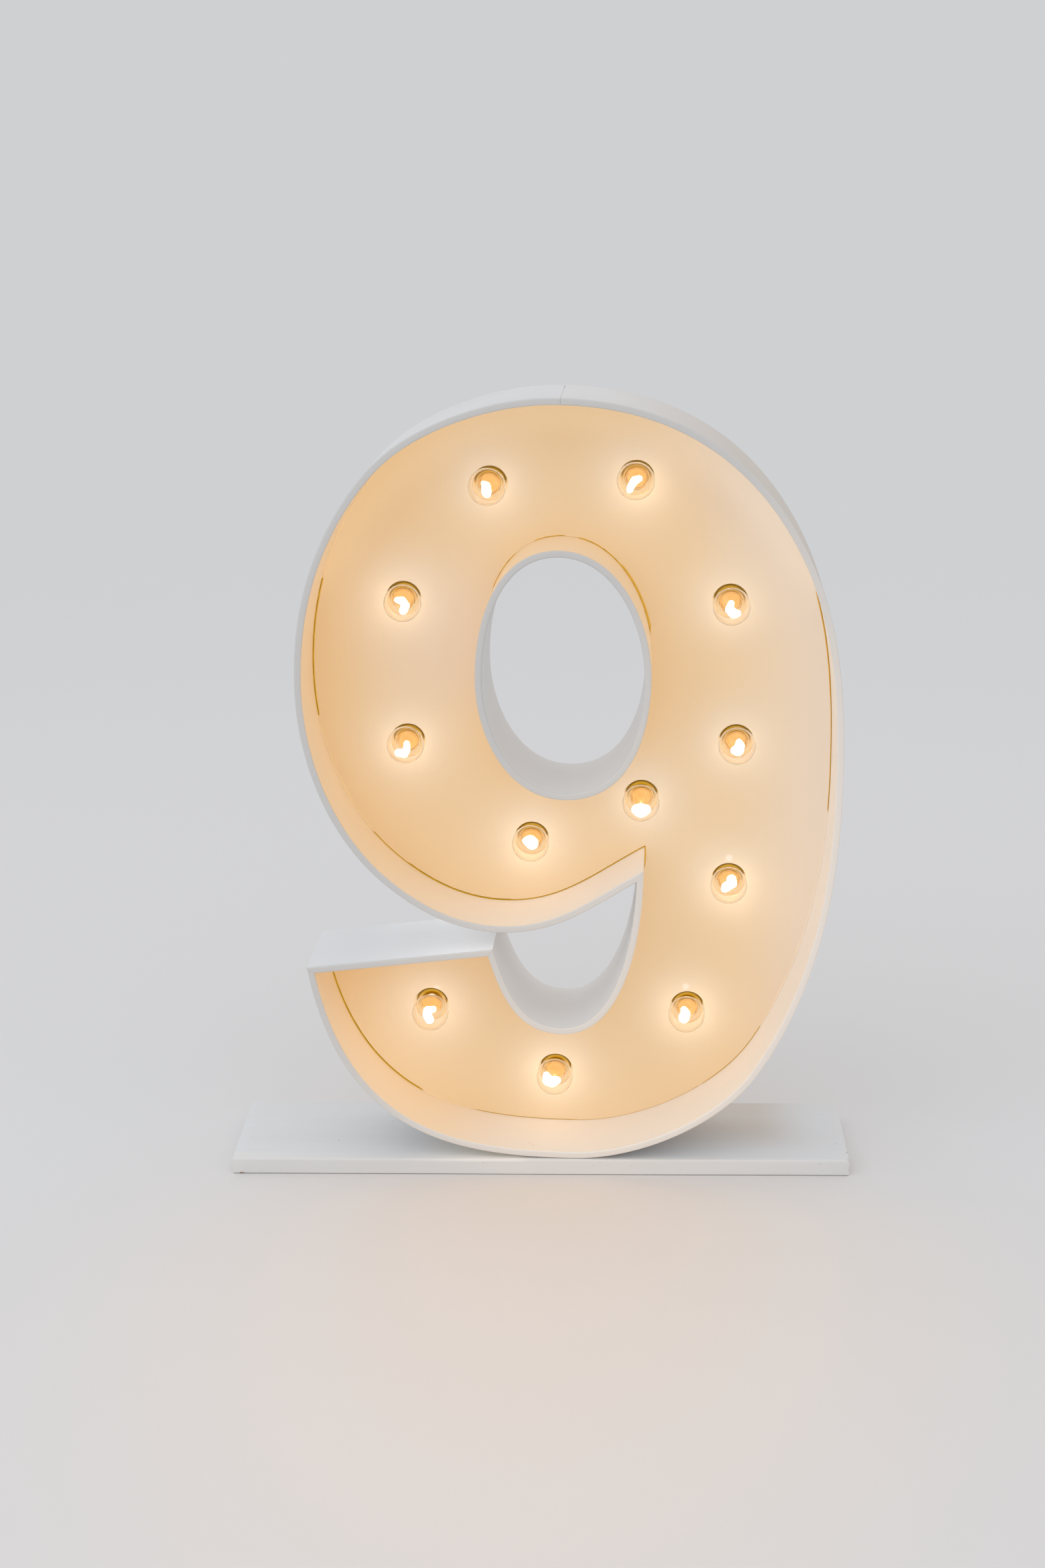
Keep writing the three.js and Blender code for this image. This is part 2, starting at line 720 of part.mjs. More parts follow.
// The rocker's side: two flats that meet in a ridge, and a keel round the pivot
function rockerShape() {
  const tilt = THREE.MathUtils.degToRad(rockerTravel / 2);
  const ridge = rockerBody / 2;
  const drop = rockerHalfHeight * Math.tan(tilt);
  const keel = ridge / 2;
  return new THREE.Shape([
    new THREE.Vector2(0, ridge + drop / 2), new THREE.Vector2(-rockerHalfHeight, ridge - drop / 2),
    new THREE.Vector2(-rockerHalfHeight, 0), new THREE.Vector2(-keel, -ridge),
    new THREE.Vector2(keel, -ridge), new THREE.Vector2(rockerHalfHeight, 0),
    new THREE.Vector2(rockerHalfHeight, ridge - drop / 2),
  ]);
}

function addRocker() {
  const body = new THREE.ExtrudeGeometry(rockerShape(), {
    depth: 2 * rockerHalfWidth, bevelEnabled: false,
  });
  body.translate(0, 0, -rockerHalfWidth).rotateY(Math.PI / 2).rotateX(Math.PI);
  body.rotateX(THREE.MathUtils.degToRad(rockerTravel / 2));
  body.translate(switchX, rockerPivotY, switchZ);
  addPart('switch_rocker', joined(body, [trunnion(0)]), 'blackPlastic');
}

addPlank();
addPlankScrews();
addWalls();
addFacePanel();
addRearBoard();
addLedges();
addLamps();
addWiring();
addBrackets();
addInlet();
addBezel();
addRocker();

export default marqueeNumber;
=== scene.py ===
import math

import bpy
from mathutils import Matrix, Vector, noise


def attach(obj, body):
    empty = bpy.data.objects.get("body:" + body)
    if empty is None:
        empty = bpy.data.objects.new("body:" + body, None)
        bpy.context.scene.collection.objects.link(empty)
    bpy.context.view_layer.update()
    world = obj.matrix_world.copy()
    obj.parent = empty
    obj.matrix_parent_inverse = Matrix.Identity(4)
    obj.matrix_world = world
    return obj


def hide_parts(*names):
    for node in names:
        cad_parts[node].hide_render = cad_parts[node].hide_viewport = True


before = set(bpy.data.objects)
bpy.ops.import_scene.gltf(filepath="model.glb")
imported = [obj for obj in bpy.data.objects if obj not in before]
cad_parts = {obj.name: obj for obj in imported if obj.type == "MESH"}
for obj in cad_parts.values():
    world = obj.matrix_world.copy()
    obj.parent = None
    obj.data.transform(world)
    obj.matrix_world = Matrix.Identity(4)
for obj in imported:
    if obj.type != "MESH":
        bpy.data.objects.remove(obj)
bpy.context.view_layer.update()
print("frame loaded:", len(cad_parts), "nodes")

mm = 0.001
touching = 1e-5
black = (0, 0, 0)

# sizes of the figure, in metres, as the CAD part has them
figure = {
    "middleX": 0.039,
    "footZ": 0.0273,
    "channelWidth": 0.619,
    "channelHeight": 0.898,
    "frontY": -0.089,
    "wallDepth": 0.143,
    "wallThickness": 0.00798,
    "panelFront": 0.102,
    "panelThickness": 0.005,
    "panelGap": 0.001,
    "boardInset": 0.001,
    "boardThickness": 0.006,
    "seatGap": 0.0003,
    "curveSteps": 30,
    "outerStart": (-0.491, 0.25),
    "outerRows": [
        ((-0.473, 0.183), (-0.436, 0.116), (-0.36, 0.069)),
        ((-0.27, 0.012), (-0.136, 0), (0.013, 0)),
        ((0.126, 0), (0.288, 0.047), (0.358, 0.125)),
        ((0.469, 0.247), (0.5, 0.383), (0.5, 0.527)),
        ((0.5, 0.65), (0.488, 0.76), (0.381, 0.864)),
        ((0.281, 0.959), (0.139, 1), (-0.03, 1)),
        ((-0.148, 1), (-0.291, 0.964), (-0.359, 0.911)),
        ((-0.455, 0.837), (-0.5, 0.743), (-0.5, 0.641)),
        ((-0.5, 0.542), (-0.445, 0.444), (-0.35, 0.385)),
        ((-0.289, 0.347), (-0.215, 0.318), (-0.124, 0.318)),
        ((-0.016, 0.318), (0.047, 0.359), (0.141, 0.395)),
    ],
    "gapStart": (0.141, 0.395),
    "gapRows": [
        ((0.142, 0.306), (0.105, 0.168), (-0.012, 0.168)),
        ((-0.102, 0.168), (-0.132, 0.221), (-0.156, 0.276)),
    ],
    "counterStart": (-0.018, 0.817),
    "counterRows": [
        ((0.094, 0.817), (0.155, 0.726), (0.155, 0.653)),
        ((0.155, 0.576), (0.114, 0.49), (-0.004, 0.49)),
        ((-0.117, 0.49), (-0.174, 0.576), (-0.174, 0.649)),
        ((-0.174, 0.729), (-0.131, 0.817), (-0.018, 0.817)),
    ],
    "bottomSeam": 0.136,
    "sideSeam": 0.33,
    "topSeam": 0.603,
}

# a bulb's globe, its hole in the panel, and the twelve places in shares of the channel
bulbs = {
    "centre": 0.07485,
    "globeRadius": 0.02225,
    "holeRadius": 0.02125,
    "holeSteps": 48,
    "places": [
        (-0.153, 0.886), (0.124, 0.893), (-0.321, 0.734), (0.303, 0.731), (-0.318, 0.541),
        (0.317, 0.542), (0.135, 0.465), (-0.079, 0.406), (0.306, 0.35), (-0.282, 0.168),
        (0.227, 0.167), (-0.035, 0.074),
    ],
}


def sharePoint(share):
    return Vector((figure["middleX"] + share[0] * figure["channelWidth"],
                   figure["footZ"] + share[1] * figure["channelHeight"]))


bulbPlaces = [sharePoint(share) for share in bulbs["places"]]
frontY = figure["frontY"]
panelY = frontY + figure["panelFront"]
backY = frontY + figure["wallDepth"]
boardBack = backY - figure["boardInset"]
boardFront = boardBack - figure["boardThickness"]


# outlines as rows of points in X and Z

def curvePoints(start, rows):
    points = [sharePoint(start)]
    for row in rows:
        a = points[-1].copy()
        b, c, d = [sharePoint(share) for share in row]
        for step in range(1, figure["curveSteps"] + 1):
            t = step / figure["curveSteps"]
            s = 1 - t
            points.append(a * s ** 3 + b * 3 * s * s * t + c * 3 * s * t * t + d * t ** 3)
    return points


def lengths(points):
    run = [0.0]
    for one, two in zip(points, points[1:]):
        run.append(run[-1] + (two - one).length)
    return run


# a place at a length along a line; past either end the line is drawn on straight
def pointAlong(points, run, at):
    i = 1
    while run[i] < at and i < len(points) - 1:
        i += 1
    return points[i - 1] + (points[i] - points[i - 1]) * ((at - run[i - 1]) / (run[i] - run[i - 1]))


def tangentAt(points, run, at):
    return (pointAlong(points, run, at + mm) - pointAlong(points, run, at - mm)).normalized()


# a place beside a line, at a length along it, to the left of its way
def pointBeside(points, run, at, distance):
    way = tangentAt(points, run, at)
    return pointAlong(points, run, at) + Vector((-way.y, way.x)) * distance


def stretch(points, start, end):
    run = lengths(points)
    kept = [p.copy() for p, at in zip(points, run) if start + 1e-4 < at < end - 1e-4]
    return [pointAlong(points, run, start)] + kept + [pointAlong(points, run, end)]


# a closed outline moved sideways by a distance for each point, positive to the right of its way
def movedOutline(points, distances):
    moved = []
    for i, point in enumerate(points):
        before = (point - points[i - 1]).normalized()
        after = (points[(i + 1) % len(points)] - point).normalized()
        one, two = Vector((before.y, -before.x)), Vector((after.y, -after.x))
        middle = (one + two).normalized()
        moved.append(point + middle * (distances[i] / middle.dot(one)))
    return moved


outerLine = curvePoints(figure["outerStart"], figure["outerRows"])
gapLine = curvePoints(figure["gapStart"], figure["gapRows"])
counterLine = curvePoints(figure["counterStart"], figure["counterRows"])[:-1]
endLine = [gapLine[-1], outerLine[0]]
channelLine = outerLine + gapLine[1:]


# working with Blender's own tools

def deselectAll():
    if bpy.context.object and bpy.context.object.mode != "OBJECT":
        bpy.ops.object.mode_set(mode="OBJECT")
    bpy.ops.object.select_all(action="DESELECT")


def takeUp(obj):
    deselectAll()
    bpy.context.view_layer.objects.active = obj
    obj.select_set(True)


def openMesh(obj, mode="VERT", action="DESELECT"):
    takeUp(obj)
    bpy.ops.object.mode_set(mode="EDIT")
    bpy.ops.mesh.select_mode(type=mode)
    bpy.ops.mesh.select_all(action=action)


def closeMesh():
    bpy.ops.object.mode_set(mode="OBJECT")


# joins vertices that lie on each other and turns every face outward
def mend(obj):
    openMesh(obj, "VERT", "SELECT")
    bpy.ops.mesh.remove_doubles(threshold=1e-6)
    bpy.ops.mesh.normals_make_consistent(inside=False)
    closeMesh()


# these two select by a test on each face or edge, and open the mesh
def pickFaces(obj, test):
    openMesh(obj, "FACE")
    closeMesh()
    for face in obj.data.polygons:
        face.select = test(face)
    bpy.ops.object.mode_set(mode="EDIT")


def pickEdges(obj, test, among=None):
    openMesh(obj, "EDGE")
    closeMesh()
    for edge in obj.data.edges:
        one, two = [obj.data.vertices[v].co for v in edge.vertices]
        edge.select = (among is None or tuple(sorted(edge.vertices)) in among) and test(one, two)
    bpy.ops.object.mode_set(mode="EDIT")


def useModifier(obj, kind, **settings):
    takeUp(obj)
    modifier = obj.modifiers.new(kind.title(), kind)
    for name, value in settings.items():
        setattr(modifier, name, value)
    bpy.ops.object.modifier_apply(modifier=modifier.name)


def spun(axis, angle):
    return Matrix.Rotation(angle, 4, axis)


def newCurve(dimensions):
    deselectAll()
    bpy.ops.curve.primitive_bezier_curve_add()
    curve = bpy.context.object
    curve.data.splines.clear()
    curve.data.dimensions = dimensions
    return curve


def addSpline(curve, places, shares=None, closed=False):
    spline = curve.data.splines.new("POLY")
    spline.points.add(len(places) - 1)
    for i, place in enumerate(places):
        spline.points[i].co = (*place, 1)
        spline.points[i].radius = shares[i] if shares else 1
    spline.use_cyclic_u = closed


# a drawn line or filled outline in X and Z at a given Y, as a mesh. Lines are (points, closed).
def drawn(lines, y, thickness=0.0, filled=False):
    curve = newCurve("2D" if filled else "3D")
    curve.data.fill_mode = "BOTH" if filled else "HALF"
    curve.data.extrude = thickness / 2
    for points, closed in lines:
        addSpline(curve, [(point[0], point[1], 0) for point in points], None, closed)
    bpy.ops.object.convert(target="MESH")
    piece = bpy.context.object
    piece.data.transform(Matrix.Translation((0, y, 0)) @ spun("X", math.pi / 2))
    return piece


# a profile of (radius, distance along Y) turned about the Y axis
def turned(profile, steps):
    piece = drawn([(profile, False)], 0)
    piece.data.transform(spun("X", -math.pi / 2))
    openMesh(piece, "VERT", "SELECT")
    bpy.ops.mesh.spin(steps=steps, angle=2 * math.pi, center=(0, 0, 0), axis=(0, 1, 0))
    closeMesh()
    mend(piece)
    return piece


# round tubes along rows of (place, share of the radius), as one mesh
def tubes(rows, radius, steps=2):
    curve = newCurve("3D")
    curve.data.bevel_depth = radius
    curve.data.bevel_resolution = steps
    curve.data.use_fill_caps = True
    for row in rows:
        addSpline(curve, [place for place, _ in row], [share for _, share in row])
    bpy.ops.object.convert(target="MESH")
    return bpy.context.object


# a round pin from one place to another along X, Y or Z
def pin(start, end, radius, sides=24):
    one, two = Vector(start), Vector(end)
    deselectAll()
    bpy.ops.mesh.primitive_cylinder_add(vertices=sides, radius=radius, depth=(two - one).length)
    piece = bpy.context.object
    turn = Vector((0, 0, 1)).rotation_difference(two - one).to_matrix().to_4x4()
    piece.data.transform(Matrix.Translation((one + two) / 2) @ turn)
    return piece


# a plain block between two corners
def block(low, high):
    one, two = Vector(low), Vector(high)
    deselectAll()
    bpy.ops.mesh.primitive_cube_add(size=1)
    piece = bpy.context.object
    piece.data.transform(Matrix.Translation((one + two) / 2) @ Matrix.Diagonal((*(two - one), 1)))
    return piece


# cuts one piece with another, which is used up
def carve(obj, cutter):
    useModifier(obj, "BOOLEAN", operation="DIFFERENCE", solver="EXACT", object=cutter)
    bpy.data.objects.remove(cutter)


# a merged copy of a CAD node with its edges softened
def softCopy(name, width):
    twin = bpy.data.objects.new(name + "Copy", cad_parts[name].data.copy())
    bpy.context.scene.collection.objects.link(twin)
    openMesh(twin, "VERT", "SELECT")
    bpy.ops.mesh.remove_doubles(threshold=touching)
    bpy.ops.mesh.tris_convert_to_quads(face_threshold=0.02, shape_threshold=3.1)
    closeMesh()
    useModifier(twin, "BEVEL", width=width, segments=2, limit_method="ANGLE", angle_limit=math.radians(40))
    return twin


# gives the faces that pass a test another of the piece's finishes
def markFaces(obj, index, test):
    for face in obj.data.polygons:
        if test(face.center):
            face.material_index = index


# hands a finished piece to its body, with its finish and the CAD nodes that it stands for
def handIn(obj, name, body, finishes, nodes=(), degrees=35):
    obj.name = obj.data.name = name
    takeUp(obj)
    bpy.ops.object.shade_smooth_by_angle(angle=math.radians(degrees))
    indexes = [face.material_index for face in obj.data.polygons]
    obj.data.materials.clear()
    for finish in finishes:
        obj.data.materials.append(finish.material)
    obj.data.polygons.foreach_set("material_index", indexes)
    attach(obj, body)
    if nodes:
        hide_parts(*nodes)
    return obj


# one more of a finished shape, with its own mesh, put in another place
def anotherOf(obj, place):
    twin = obj.copy()
    twin.data = obj.data.copy()
    twin.data.transform(place)
    bpy.context.scene.collection.objects.link(twin)
    return twin


def drop(*masters):
    for master in masters:
        bpy.data.objects.remove(master)


# materials: socket maths and one way to add any node

class Shade:
    def __init__(self, tree, socket):
        self.tree, self.socket = tree, socket

    def maths(self, operation, one, two=0.0):
        return self.tree.add("ShaderNodeMath", {"operation": operation}, {0: one, 1: two})

    def __add__(self, other):
        return self.maths("ADD", self, other)

    def __sub__(self, other):
        return self.maths("SUBTRACT", self, other)

    def __rsub__(self, other):
        return self.maths("SUBTRACT", other, self)

    def __mul__(self, other):
        return self.maths("MULTIPLY", self, other)

    def __truediv__(self, other):
        return self.maths("DIVIDE", self, other)

    def __rtruediv__(self, other):
        return self.maths("DIVIDE", other, self)

    def __pow__(self, other):
        return self.maths("POWER", self, other)

    def atMost(self, other):
        return self.maths("MINIMUM", self, other)

    def atLeast(self, other):
        return self.maths("MAXIMUM", self, other)


class Tree:
    def __init__(self, owner):
        owner.use_nodes = True
        self.nodes, self.links = owner.node_tree.nodes, owner.node_tree.links
        self.nodes.clear()
        self.known = {}

    def plug(self, socket, value):
        if isinstance(value, Shade):
            self.links.new(value.socket, socket)
        elif isinstance(value, (tuple, list)) and socket.type == "RGBA":
            socket.default_value = (*value[:3], 1)
        else:
            socket.default_value = value

    def add(self, kind, settings, inputs, out=0):
        node = self.nodes.new(kind)
        for name, value in settings.items():
            setattr(node, name, value)
        for socket, value in inputs.items():
            self.plug(node.inputs[socket], value)
        return Shade(self, node.outputs[out]) if node.outputs else node

    def rays(self, *kinds):
        total = None
        for kind in kinds:
            one = self.add("ShaderNodeLightPath", {}, {}, kind)
            total = total.atLeast(one) if total else one
        return total

    # 0 to 1 as a value goes from one number to another
    def between(self, value, low, high, kind="SMOOTHSTEP"):
        return self.add("ShaderNodeMapRange", {"interpolation_type": kind}, {
            "Value": value, "From Min": low, "From Max": high, "To Min": 0.0, "To Max": 1.0})

    # the same from a start, with both numbers measured from it
    def past(self, value, start, fade):
        return self.between(value, start + fade[0], start + fade[1])

    def blend(self, amount, one, two, kind="MIX"):
        return self.add("ShaderNodeMix", {"data_type": "RGBA", "blend_type": kind}, {
            0: amount, 6: one, 7: two}, 2)


class Finish(Tree):
    def __init__(self, name):
        self.material = bpy.data.materials.new(name)
        super().__init__(self.material)
        self.shader = self.nodes.new("ShaderNodeBsdfPrincipled")
        self.surface = Shade(self, self.shader.outputs[0])
        self.output = self.nodes.new("ShaderNodeOutputMaterial")
        self.show(self.surface)

    def show(self, surface):
        self.plug(self.output.inputs[0], surface)

    def set(self, **values):
        for name, value in values.items():
            words = "".join(" " + c if c.isupper() else c for c in name)
            label = "IOR" if name == "ior" else words[0].upper() + words[1:]
            self.plug(self.shader.inputs[label], value)

    def glows(self, colour, strength=1.0):
        self.set(emissionColor=colour, emissionStrength=strength)

    def here(self):
        if "here" not in self.known:
            self.known["here"] = self.add("ShaderNodeTexCoord", {}, {}, "Object")
        return self.known["here"]

    # where on the piece, stretched by three scales
    def place(self, scales=(1, 1, 1)):
        if scales not in self.known:
            self.known[scales] = self.add("ShaderNodeMapping", {}, {"Vector": self.here(), "Scale": scales})
        return self.known[scales]

    def axes(self):
        if "axes" not in self.known:
            self.known["axes"] = [
                self.add("ShaderNodeSeparateXYZ", {}, {0: self.here()}, out) for out in range(3)]
        return self.known["axes"]

    def noise(self, scale, detail=3.0, roughness=0.5, scales=(1, 1, 1)):
        return self.add("ShaderNodeTexNoise", {}, {
            "Vector": self.place(scales), "Scale": scale, "Detail": detail, "Roughness": roughness})

    def bump(self, height, strength, distance):
        return self.add("ShaderNodeBump", {}, {
            "Height": height, "Strength": strength, "Distance": distance})

    def awayFrom(self, place):
        return self.add("ShaderNodeVectorMath", {"operation": "DISTANCE"}, {0: self.here(), 1: place}, 1)

    # 0 to 1 as the distance from a place goes from one number to another
    def around(self, place, reach):
        return self.between(self.awayFrom(place), *reach)

    # how near the bulbs are: each gives 1 at its middle, a half at the reach and little beyond
    def nearBulbs(self, reach, depth):
        total = None
        for place in bulbPlaces:
            share = 1.0 / ((self.awayFrom((place.x, depth, place.y)) / reach) ** 4.0 + 1.0)
            total = total + share if total else share
        return total


# camera
camera = {
    "place": (0.1561, -2.9598, 1.2524),
    "pitch": 14.90,
    "yaw": -3.40,
    "roll": 0.53,
    "lens": 58.79,
    "sensor": 36,
    "farthest": 60,
}


def addCamera():
    pitch, yaw, roll = [math.radians(camera[key]) for key in ("pitch", "yaw", "roll")]
    ahead = Vector((math.sin(yaw) * math.cos(pitch), math.cos(yaw) * math.cos(pitch), -math.sin(pitch)))
    right = Vector((math.cos(yaw), -math.sin(yaw), 0))
    down = ahead.cross(right)
    rolledRight = right * math.cos(roll) + down * math.sin(roll)
    rolledDown = down * math.cos(roll) - right * math.sin(roll)
    deselectAll()
    bpy.ops.object.camera_add()
    obj = bpy.context.object
    obj.name = "photoCamera"
    turn = Matrix((rolledRight, -rolledDown, -ahead)).transposed().to_4x4()
    obj.matrix_world = Matrix.Translation(camera["place"]) @ turn
    obj.data.lens = camera["lens"]
    obj.data.sensor_width = camera["sensor"]
    obj.data.clip_end = camera["farthest"]
    bpy.context.scene.camera = obj


addCamera()

# studio: soft light from the upper left, a pale floor that runs out into the backdrop, with a pool of warm
# light painted on it in front of the figure
studio = {
    "backdrop": (0.624, 0.631, 0.644),
    "fillCool": (0.94, 0.965, 1.0),
    "fillWarm": (0.84, 0.77, 0.72),
    "fillFrom": (-0.75, -0.2, 0.63),
    "floor": (0.714, 0.717, 0.724),
    # the warm colour of a pool of light painted on the floor; its middle, reach and depth follow below
    "floorWarmLight": (0.815, 0.75, 0.705),
    "floorRough": 0.55,
    "warmSpot": (0.0, -0.5),
    "lightPoolReach": (0.75, 0.05),
    "lightPoolDepth": 0.6,
    "patches": 3.0,
    "patchReach": 0.1,
    "floorRadius": 14.0,
    "floorDrop": 0.0009,
    "floorFades": (1.2, 4.5),
    "keyPlace": (-2.4, -2.2, 3.0),
    "keyAim": (0, 0, 0.45),
    "keySize": 2.6,
    "keyPower": 12,
    "keyColour": (0.96, 0.98, 1.0),
    "bulbPower": 0.03,
    "bulbColour": (1.0, 0.74, 0.42),
    "bulbSize": 0.008,
    "bulbDrop": 0.004,
}


# cooler and stronger light from the upper left, warmer and weaker from the lower right
def addSky():
    world = bpy.data.worlds.new("studioLight")
    bpy.context.scene.world = world
    sky = Tree(world)
    facing = sky.add("ShaderNodeVectorMath", {"operation": "DOT_PRODUCT"}, {
        0: sky.add("ShaderNodeTexCoord", {}, {}, "Generated"), 1: studio["fillFrom"]}, "Value")
    tint = sky.blend(sky.between(facing, -1.0, 1.0, "LINEAR"), studio["fillWarm"], studio["fillCool"])
    mixed = sky.add("ShaderNodeMixShader", {}, {
        0: sky.rays("Is Camera Ray", "Is Glossy Ray", "Is Transmission Ray"),
        1: sky.add("ShaderNodeBackground", {}, {"Color": tint}),
        2: sky.add("ShaderNodeBackground", {}, {"Color": studio["backdrop"]})})
    sky.add("ShaderNodeOutputWorld", {}, {0: mixed})


def addFloor():
    deselectAll()
    bpy.ops.mesh.primitive_circle_add(
        vertices=128, radius=studio["floorRadius"], fill_type="NGON", location=(0, 0, -studio["floorDrop"]))
    floor = bpy.context.object
    floor.name = "studioFloor"
    bpy.ops.object.transform_apply(location=True)
    finish = Finish("paleFloor")
    x, y, _ = finish.axes()
    # a ragged pool of warm light painted on the floor in front of the figure
    spotX, spotY = studio["warmSpot"]
    fromSpot = ((x - spotX) ** 2.0 + ((y - spotY) * studio["lightPoolDepth"]) ** 2.0) ** 0.5
    ragged = fromSpot + finish.noise(studio["patches"]) * studio["patchReach"]
    warm = finish.between(ragged, *studio["lightPoolReach"])
    finish.set(baseColor=finish.blend(warm, studio["floor"], studio["floorWarmLight"]),
               roughness=studio["floorRough"])
    finish.show(finish.add("ShaderNodeMixShader", {}, {
        0: finish.between((x ** 2.0 + y ** 2.0) ** 0.5, *studio["floorFades"]), 1: finish.surface,
        2: finish.add("ShaderNodeEmission", {}, {"Color": studio["backdrop"]})}))
    floor.data.materials.append(finish.material)


def addLamp(name, kind, place, power, colour):
    deselectAll()
    bpy.ops.object.light_add(type=kind, location=place)
    lamp = bpy.context.object
    lamp.name = name
    lamp.data.energy = power
    lamp.data.color = colour
    return lamp


def addLamps():
    key = addLamp("windowLight", "AREA", studio["keyPlace"], studio["keyPower"], studio["keyColour"])
    key.data.size = studio["keySize"]
    key.rotation_euler = (Vector(studio["keyAim"]) - key.location).to_track_quat("-Z", "Y").to_euler()
    for index, place in enumerate(bulbPlaces):
        middle = (place.x, frontY + bulbs["centre"], place.y - studio["bulbDrop"])
        lamp = addLamp(f"bulbLight{index + 1:02d}", "POINT", middle, studio["bulbPower"],
                       studio["bulbColour"])
        lamp.data.shadow_soft_size = studio["bulbSize"]
        lamp.visible_camera = lamp.visible_transmission = lamp.visible_glossy = False


bpy.context.scene.view_settings.view_transform = "Standard"
addSky()
addFloor()
addLamps()
print("studio ready")


# paints
paint = {
    "patches": (9.0, 4.0, 0.55),
    "brush": (60.0, 2.0, 0.5, (1.0, 0.12, 1.0)),
    "sheen": 0.42,
    "sheenSpread": 0.14,
    "bump": (0.25, 0.0004),
    "white": (0.75, 0.755, 0.76),
    "whiteLow": (0.71, 0.71, 0.715),
    # the front rim: grey at the upper left as painted shade, warm and bright towards the lower right as
    # painted light, with some of the bulbs' painted light kept on that side
    "rim": (0.63, 0.625, 0.615),
    "rimWarm": (0.92, 0.85, 0.77),
    "rimFade": (0.003, 0.0004),
    "rimSlope": 0.8,
    "rimLightAcross": (-0.55, 0.1),
    "rimGlow": 0.45,
    "backFade": (-0.004, -0.012),
    "ragged": (500.0, 2.0),
    "raggedShare": 0.8,
    "markEdge": 0.6,
    # the inner walls and the panel are white paint: their warm colours here are painted bulb light
    "litWall": (0.78, 0.66, 0.5),
    "litWallLow": (0.74, 0.61, 0.45),
    "panel": (0.76, 0.62, 0.44),
    "panelLow": (0.73, 0.585, 0.4),
    # behind the panel's face the walls are painted dark brown as shade, with painted golden light near the
    # face
    "gap": (0.22, 0.14, 0.02),
    "gapGlow": (0.37, 0.205, 0.001),
    "gapStart": (0.0002, 0.0012),
    "gapDark": (0.005, 0.007),
    "gapEnd": (0.0005, 0.0002),
    "haloReach": 0.05,
    "inHole": (0.6, 0.7),
}
# the bulbs' light as it lies on the left and on the right of the figure, with the two places in X
# between which it changes, in the tail, and close round a bulb. Round the counter the walls keep the
# left one. Then, for the panel, how the change leans higher up, a light along its upper edge, a paler
# patch left of the counter and the spots where a bulb's glass mirrors another.
glow = {
    "wall": {"left": (0.14, 0.09, 0.045), "right": (0.1, 0.15, 0.2), "across": (-0.22, 0.02),
             "tail": (0.19, 0.13, 0.08), "close": (0.07, 0.09, 0.11)},
    "panel": {"left": (0.19, 0.095, 0.01), "right": (0.18, 0.175, 0.19), "across": (0.21, 0.345),
              "tail": (0.25, 0.165, 0.08), "close": (0.12, 0.15, 0.17)},
    "tailTop": (0.27, 0.1),
    "tailRight": (-0.05, -0.2),
    "counter": (0.033, 0.0, 0.614),
    "counterReach": (0.19, 0.22),
    "leanFrom": 0.62,
    "lean": 0.4,
    "edge": (0.06, 0.062, 0.05),
    "edgeMiddle": (0.03, panelY, 0.6),
    "edgeReach": (0.265, 0.305),
    "edgeFrom": (0.66, 0.74),
    "pale": (0.15, 0.11, 0.095),
    "palePlace": (-0.105, 0.013, 0.64),
    "paleReach": (0.15, 0.02),
    "glint": (0.26, 0.28, 0.32),
    "glintReach": (0.0065, 0.001),
    "glintPlaces": [(0.2285, 0.013, 0.3691), (0.1776, 0.013, 0.2044), (-0.129, 0.013, 0.1984)],
}
# small marks in the paint: where, how wide, and their colour
marks = {
    "gap": [((0.1252, -0.0865, 0.3766), 0.0022, (0.3, 0.19, 0.1)),
            ((-0.0388, 0.0268, 0.2448), 0.0035, (0.6, 0.57, 0.54))],
    "counter": [((-0.0606, 0.049, 0.6062), 0.003, (0.42, 0.36, 0.3))],
    "foot": [((-0.011, -0.0651, 0.0291), 0.0025, (0.5, 0.34, 0.1)),
             ((-0.0065, -0.0725, 0.0288), 0.003, (0.62, 0.45, 0.2)),
             ((-0.0115, -0.0885, 0.0275), 0.0022, (0.45, 0.36, 0.27))],
}


def bulbLight(finish, lit, halo):
    x, _, z = finish.axes()
    shine = glow[lit]
    if lit == "panel":
        toRight = finish.between(x + (z - glow["leanFrom"]).atLeast(0.0) * glow["lean"], *shine["across"])
    else:
        toRight = finish.between(x, *shine["across"]) * finish.around(glow["counter"], glow["counterReach"])
    light = finish.blend(toRight, shine["left"], shine["right"])
    inTail = finish.between(z, *glow["tailTop"]) * finish.between(x, *glow["tailRight"])
    light = finish.blend(inTail, light, shine["tail"])
    if lit == "panel":
        edge = finish.around(glow["edgeMiddle"], glow["edgeReach"]) * finish.between(z, *glow["edgeFrom"])
        light = finish.blend(edge, light, glow["edge"], "ADD")
        light = finish.blend(finish.around(glow["palePlace"], glow["paleReach"]), light, glow["pale"])
    light = finish.blend(halo.atMost(1.0), light, shine["close"])
    for place in glow["glintPlaces"] if lit == "panel" else ():
        light = finish.blend(finish.around(place, glow["glintReach"]), light, glow["glint"])
    return light
